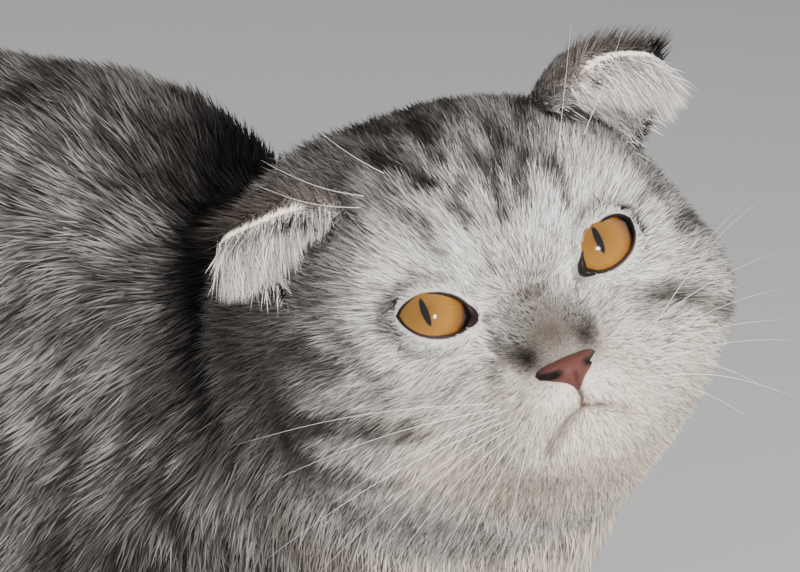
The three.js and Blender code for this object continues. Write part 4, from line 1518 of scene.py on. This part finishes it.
@dataclass(frozen=True)
class Whiskers:
    """Whiskers of the muzzle and the long hairs over the eyes."""

    thick: float = 0.065

    def runs(self) -> list[tuple[tuple[float, ...], tuple[float, ...], float]]:
        """Each whisker's root and tip in the head's axes, and how far it sags."""
        return [
            ((38, -19, -22), (18, -72, -9), 3), ((40, -17, -24), (25, -69, -19), 3),
            ((40, -15, -25), (38, -48, -27), 2), ((39, -18, -26), (35, -60, -29), 3),
            ((40, -16, -27), (40, -78, -34), 4), ((40, -14, -28), (45, -70, -41), 5),
            ((39, -17, -29), (50, -65, -45), 6), ((40, -15, -30), (50, -58, -48), 5),
            ((40, -13, -30), (52, -50, -51), 5), ((39, -14, -32), (52, -43, -53), 4),
            ((40, -12, -31), (50, -31, -52), 2),
            ((39, 19, -21), (10, 67, -17), 3), ((38, 20, -23), (5, 70, -4), 5),
            ((37, 21, -22), (2, 66, -4), 4), ((39, 18, -25), (20, 61, -26), 3),
            ((39, 17, -26), (24, 57, -32), 3), ((39, 16, -28), (30, 54, -37), 3),
            ((38, 18, -28), (35, 43, -44), 4), ((39, 15, -30), (38, 47, -48), 4),
            ((38, 16, -31), (42, 33, -47), 3),
            ((34, 15, 16), (30, 35, 49), -2), ((33, 27, 25), (32, 46, 44), -1),
            ((27, -24, 31), (24, -43, 48), -2), ((28, -18, 34), (22, -28, 51), -1),
            ((27, -26, 29), (26, -46, 42), -2),
        ]

    def build(self) -> None:
        """Makes all of them as one mesh of tapering tubes."""
        rng = np.random.default_rng(7)
        points, faces, used = [], [], 0
        for root, tip, sag in self.runs():
            start, end = np.array(root, float), np.array(tip, float)
            start[0] = start[0] - 1.0
            steps = np.linspace(0.0, 1.0, 14)[:, None]
            path = start + (end - start) * steps
            path = path + np.array([1.0, 0.0, 0.7]) * sag * np.sin(math.pi * steps)
            path = path + rng.normal(0.0, 0.6, 3) * steps
            radii = self.thick * (1.0 - 0.85 * steps[:, 0] ** 1.5) * MM
            hair, corners = Workbench.tube(POSE.from_head(path), radii, 5, False)
            points.append(hair)
            faces.append(corners + used)
            used += len(hair)
        piece = Workbench.mesh("whiskers", np.concatenate(points), np.concatenate(faces))
        Workbench.tint(piece, linear(236, 234, 230))
        finish = HairFinish("whisker", 0.35, hairs=400.0, contrast=0.1)
        Workbench.place(piece, finish.material(), "coat")


@dataclass(frozen=True)
class Studio:
    """Plain pale floor, soft lights and the camera at the photo's angle."""

    azimuth: float = 40.0
    elevation: float = 18.0
    away: float = 700.0
    pixels_per_mm: float = 4.5
    frame_size: tuple[int, int] = (800, 572)
    mark: tuple[float, float, float] = (36.0, 0.0, 0.0)
    mark_pixel: tuple[float, float] = (524.0, 280.0)
    sensor: float = 36.0
    lights: tuple[tuple[str, tuple[float, float, float], float, float], ...] = (
        ("key", (0.35, 0.38, 1.0), 0.5, 14.5),
        ("fill", (0.48, -0.4, 0.9), 0.8, 29.0),
        ("glint", (0.13, -0.01, 1.0), 0.2, 3.0),
        ("rim", (-0.4, 1.0, -0.5), 0.6, 2.5),
    )

    def axes(self) -> tuple[np.ndarray, np.ndarray, np.ndarray]:
        """The camera's right, up and back."""
        turn, rise = math.radians(self.azimuth), math.radians(self.elevation)
        right = np.array([math.cos(turn), math.sin(turn), 0.0])
        back = np.array([math.sin(turn) * math.cos(rise), -math.cos(turn) * math.cos(rise),
                         math.sin(rise)])
        return right, np.cross(back, right), back

    def camera(self) -> None:
        """Places the camera so that the mark falls on its pixel."""
        right, up, back = self.axes()
        width, height = self.frame_size
        place = POSE.from_head(np.array(self.mark)) / MM + back * self.away
        place = place - right * (self.mark_pixel[0] - width / 2) / self.pixels_per_mm
        place = place + up * (self.mark_pixel[1] - height / 2) / self.pixels_per_mm
        data = bpy.data.cameras.new("camera")
        data.sensor_width = self.sensor
        data.lens = self.sensor * self.away * self.pixels_per_mm / width
        data.clip_start, data.clip_end = 0.02, 20.0
        camera = bpy.data.objects.new("camera", data)
        turned = Matrix((right, up, back)).transposed().to_4x4()
        camera.matrix_world = Matrix.Translation(Vector(place * MM)) @ turned
        bpy.context.scene.collection.objects.link(camera)
        bpy.context.scene.camera = camera

    def light(self, name: str, place: tuple[float, float, float], size: float,
              power: float) -> None:
        """One round soft light that looks at the head. Only the glint shows in the eyes.

        Args:
            name: its name.
            place: how far right, up and back of the head it hangs, in metres.
            size: its width in metres.
            power: its power in watts.
        """
        data = bpy.data.lights.new(name, "AREA")
        data.shape = "DISK"
        data.size, data.energy = size, power
        lamp = bpy.data.objects.new(name, data)
        target = Vector(POSE.from_head(np.zeros(3)))
        right, up, back = (Vector(axis) for axis in self.axes())
        at = target + right * place[0] + up * place[1] + back * place[2]
        turned = (at - target).to_track_quat("Z", "Y").to_matrix().to_4x4()
        lamp.matrix_world = Matrix.Translation(at) @ turned
        lamp.visible_glossy = name == "glint"
        bpy.context.scene.collection.objects.link(lamp)

    def build(self) -> None:
        """Makes the floor, the lights, the world and the camera."""
        self.camera()
        Workbench.clear()
        bpy.ops.mesh.primitive_plane_add(size=12.0, location=(0.0, 0.0, 0.0))
        floor = bpy.context.object
        floor.name = "floor"
        floor.visible_glossy = False
        paint = bpy.data.materials.new("floor")
        paint.use_nodes = True
        shader = paint.node_tree.nodes["Principled BSDF"]
        shader.inputs["Base Color"].default_value = (0.55, 0.55, 0.54, 1.0)
        shader.inputs["Roughness"].default_value = 0.8
        floor.data.materials.append(paint)
        for name, place, size, power in self.lights:
            self.light(name, place, size, power)
        world = bpy.data.worlds.new("studio")
        world.use_nodes = True
        sky = world.node_tree.nodes["Background"]
        sky.inputs["Color"].default_value = (0.80, 0.81, 0.83, 1.0)
        sky.inputs["Strength"].default_value = 0.5
        bpy.context.scene.world = world


def clear_start() -> None:
    """Removes what Blender's own start file put in the scene."""
    kept = {*frame["nodes"].values(), *frame["bodies"].values()}
    for thing in [thing for thing in bpy.data.objects if thing not in kept]:
        bpy.data.objects.remove(thing)


def main() -> None:
    """Builds the cat and its studio, in order."""
    logging.basicConfig(level=logging.INFO, format="%(name)s: %(message)s")
    clear_start()
    Studio().build()
    skin = Skin()
    skin.build()
    Coat().build(skin)
    Ears().build()
    Eyes().build()
    NoseLeather().build()
    Whiskers().build()


if __name__ == "__main__":
    main()
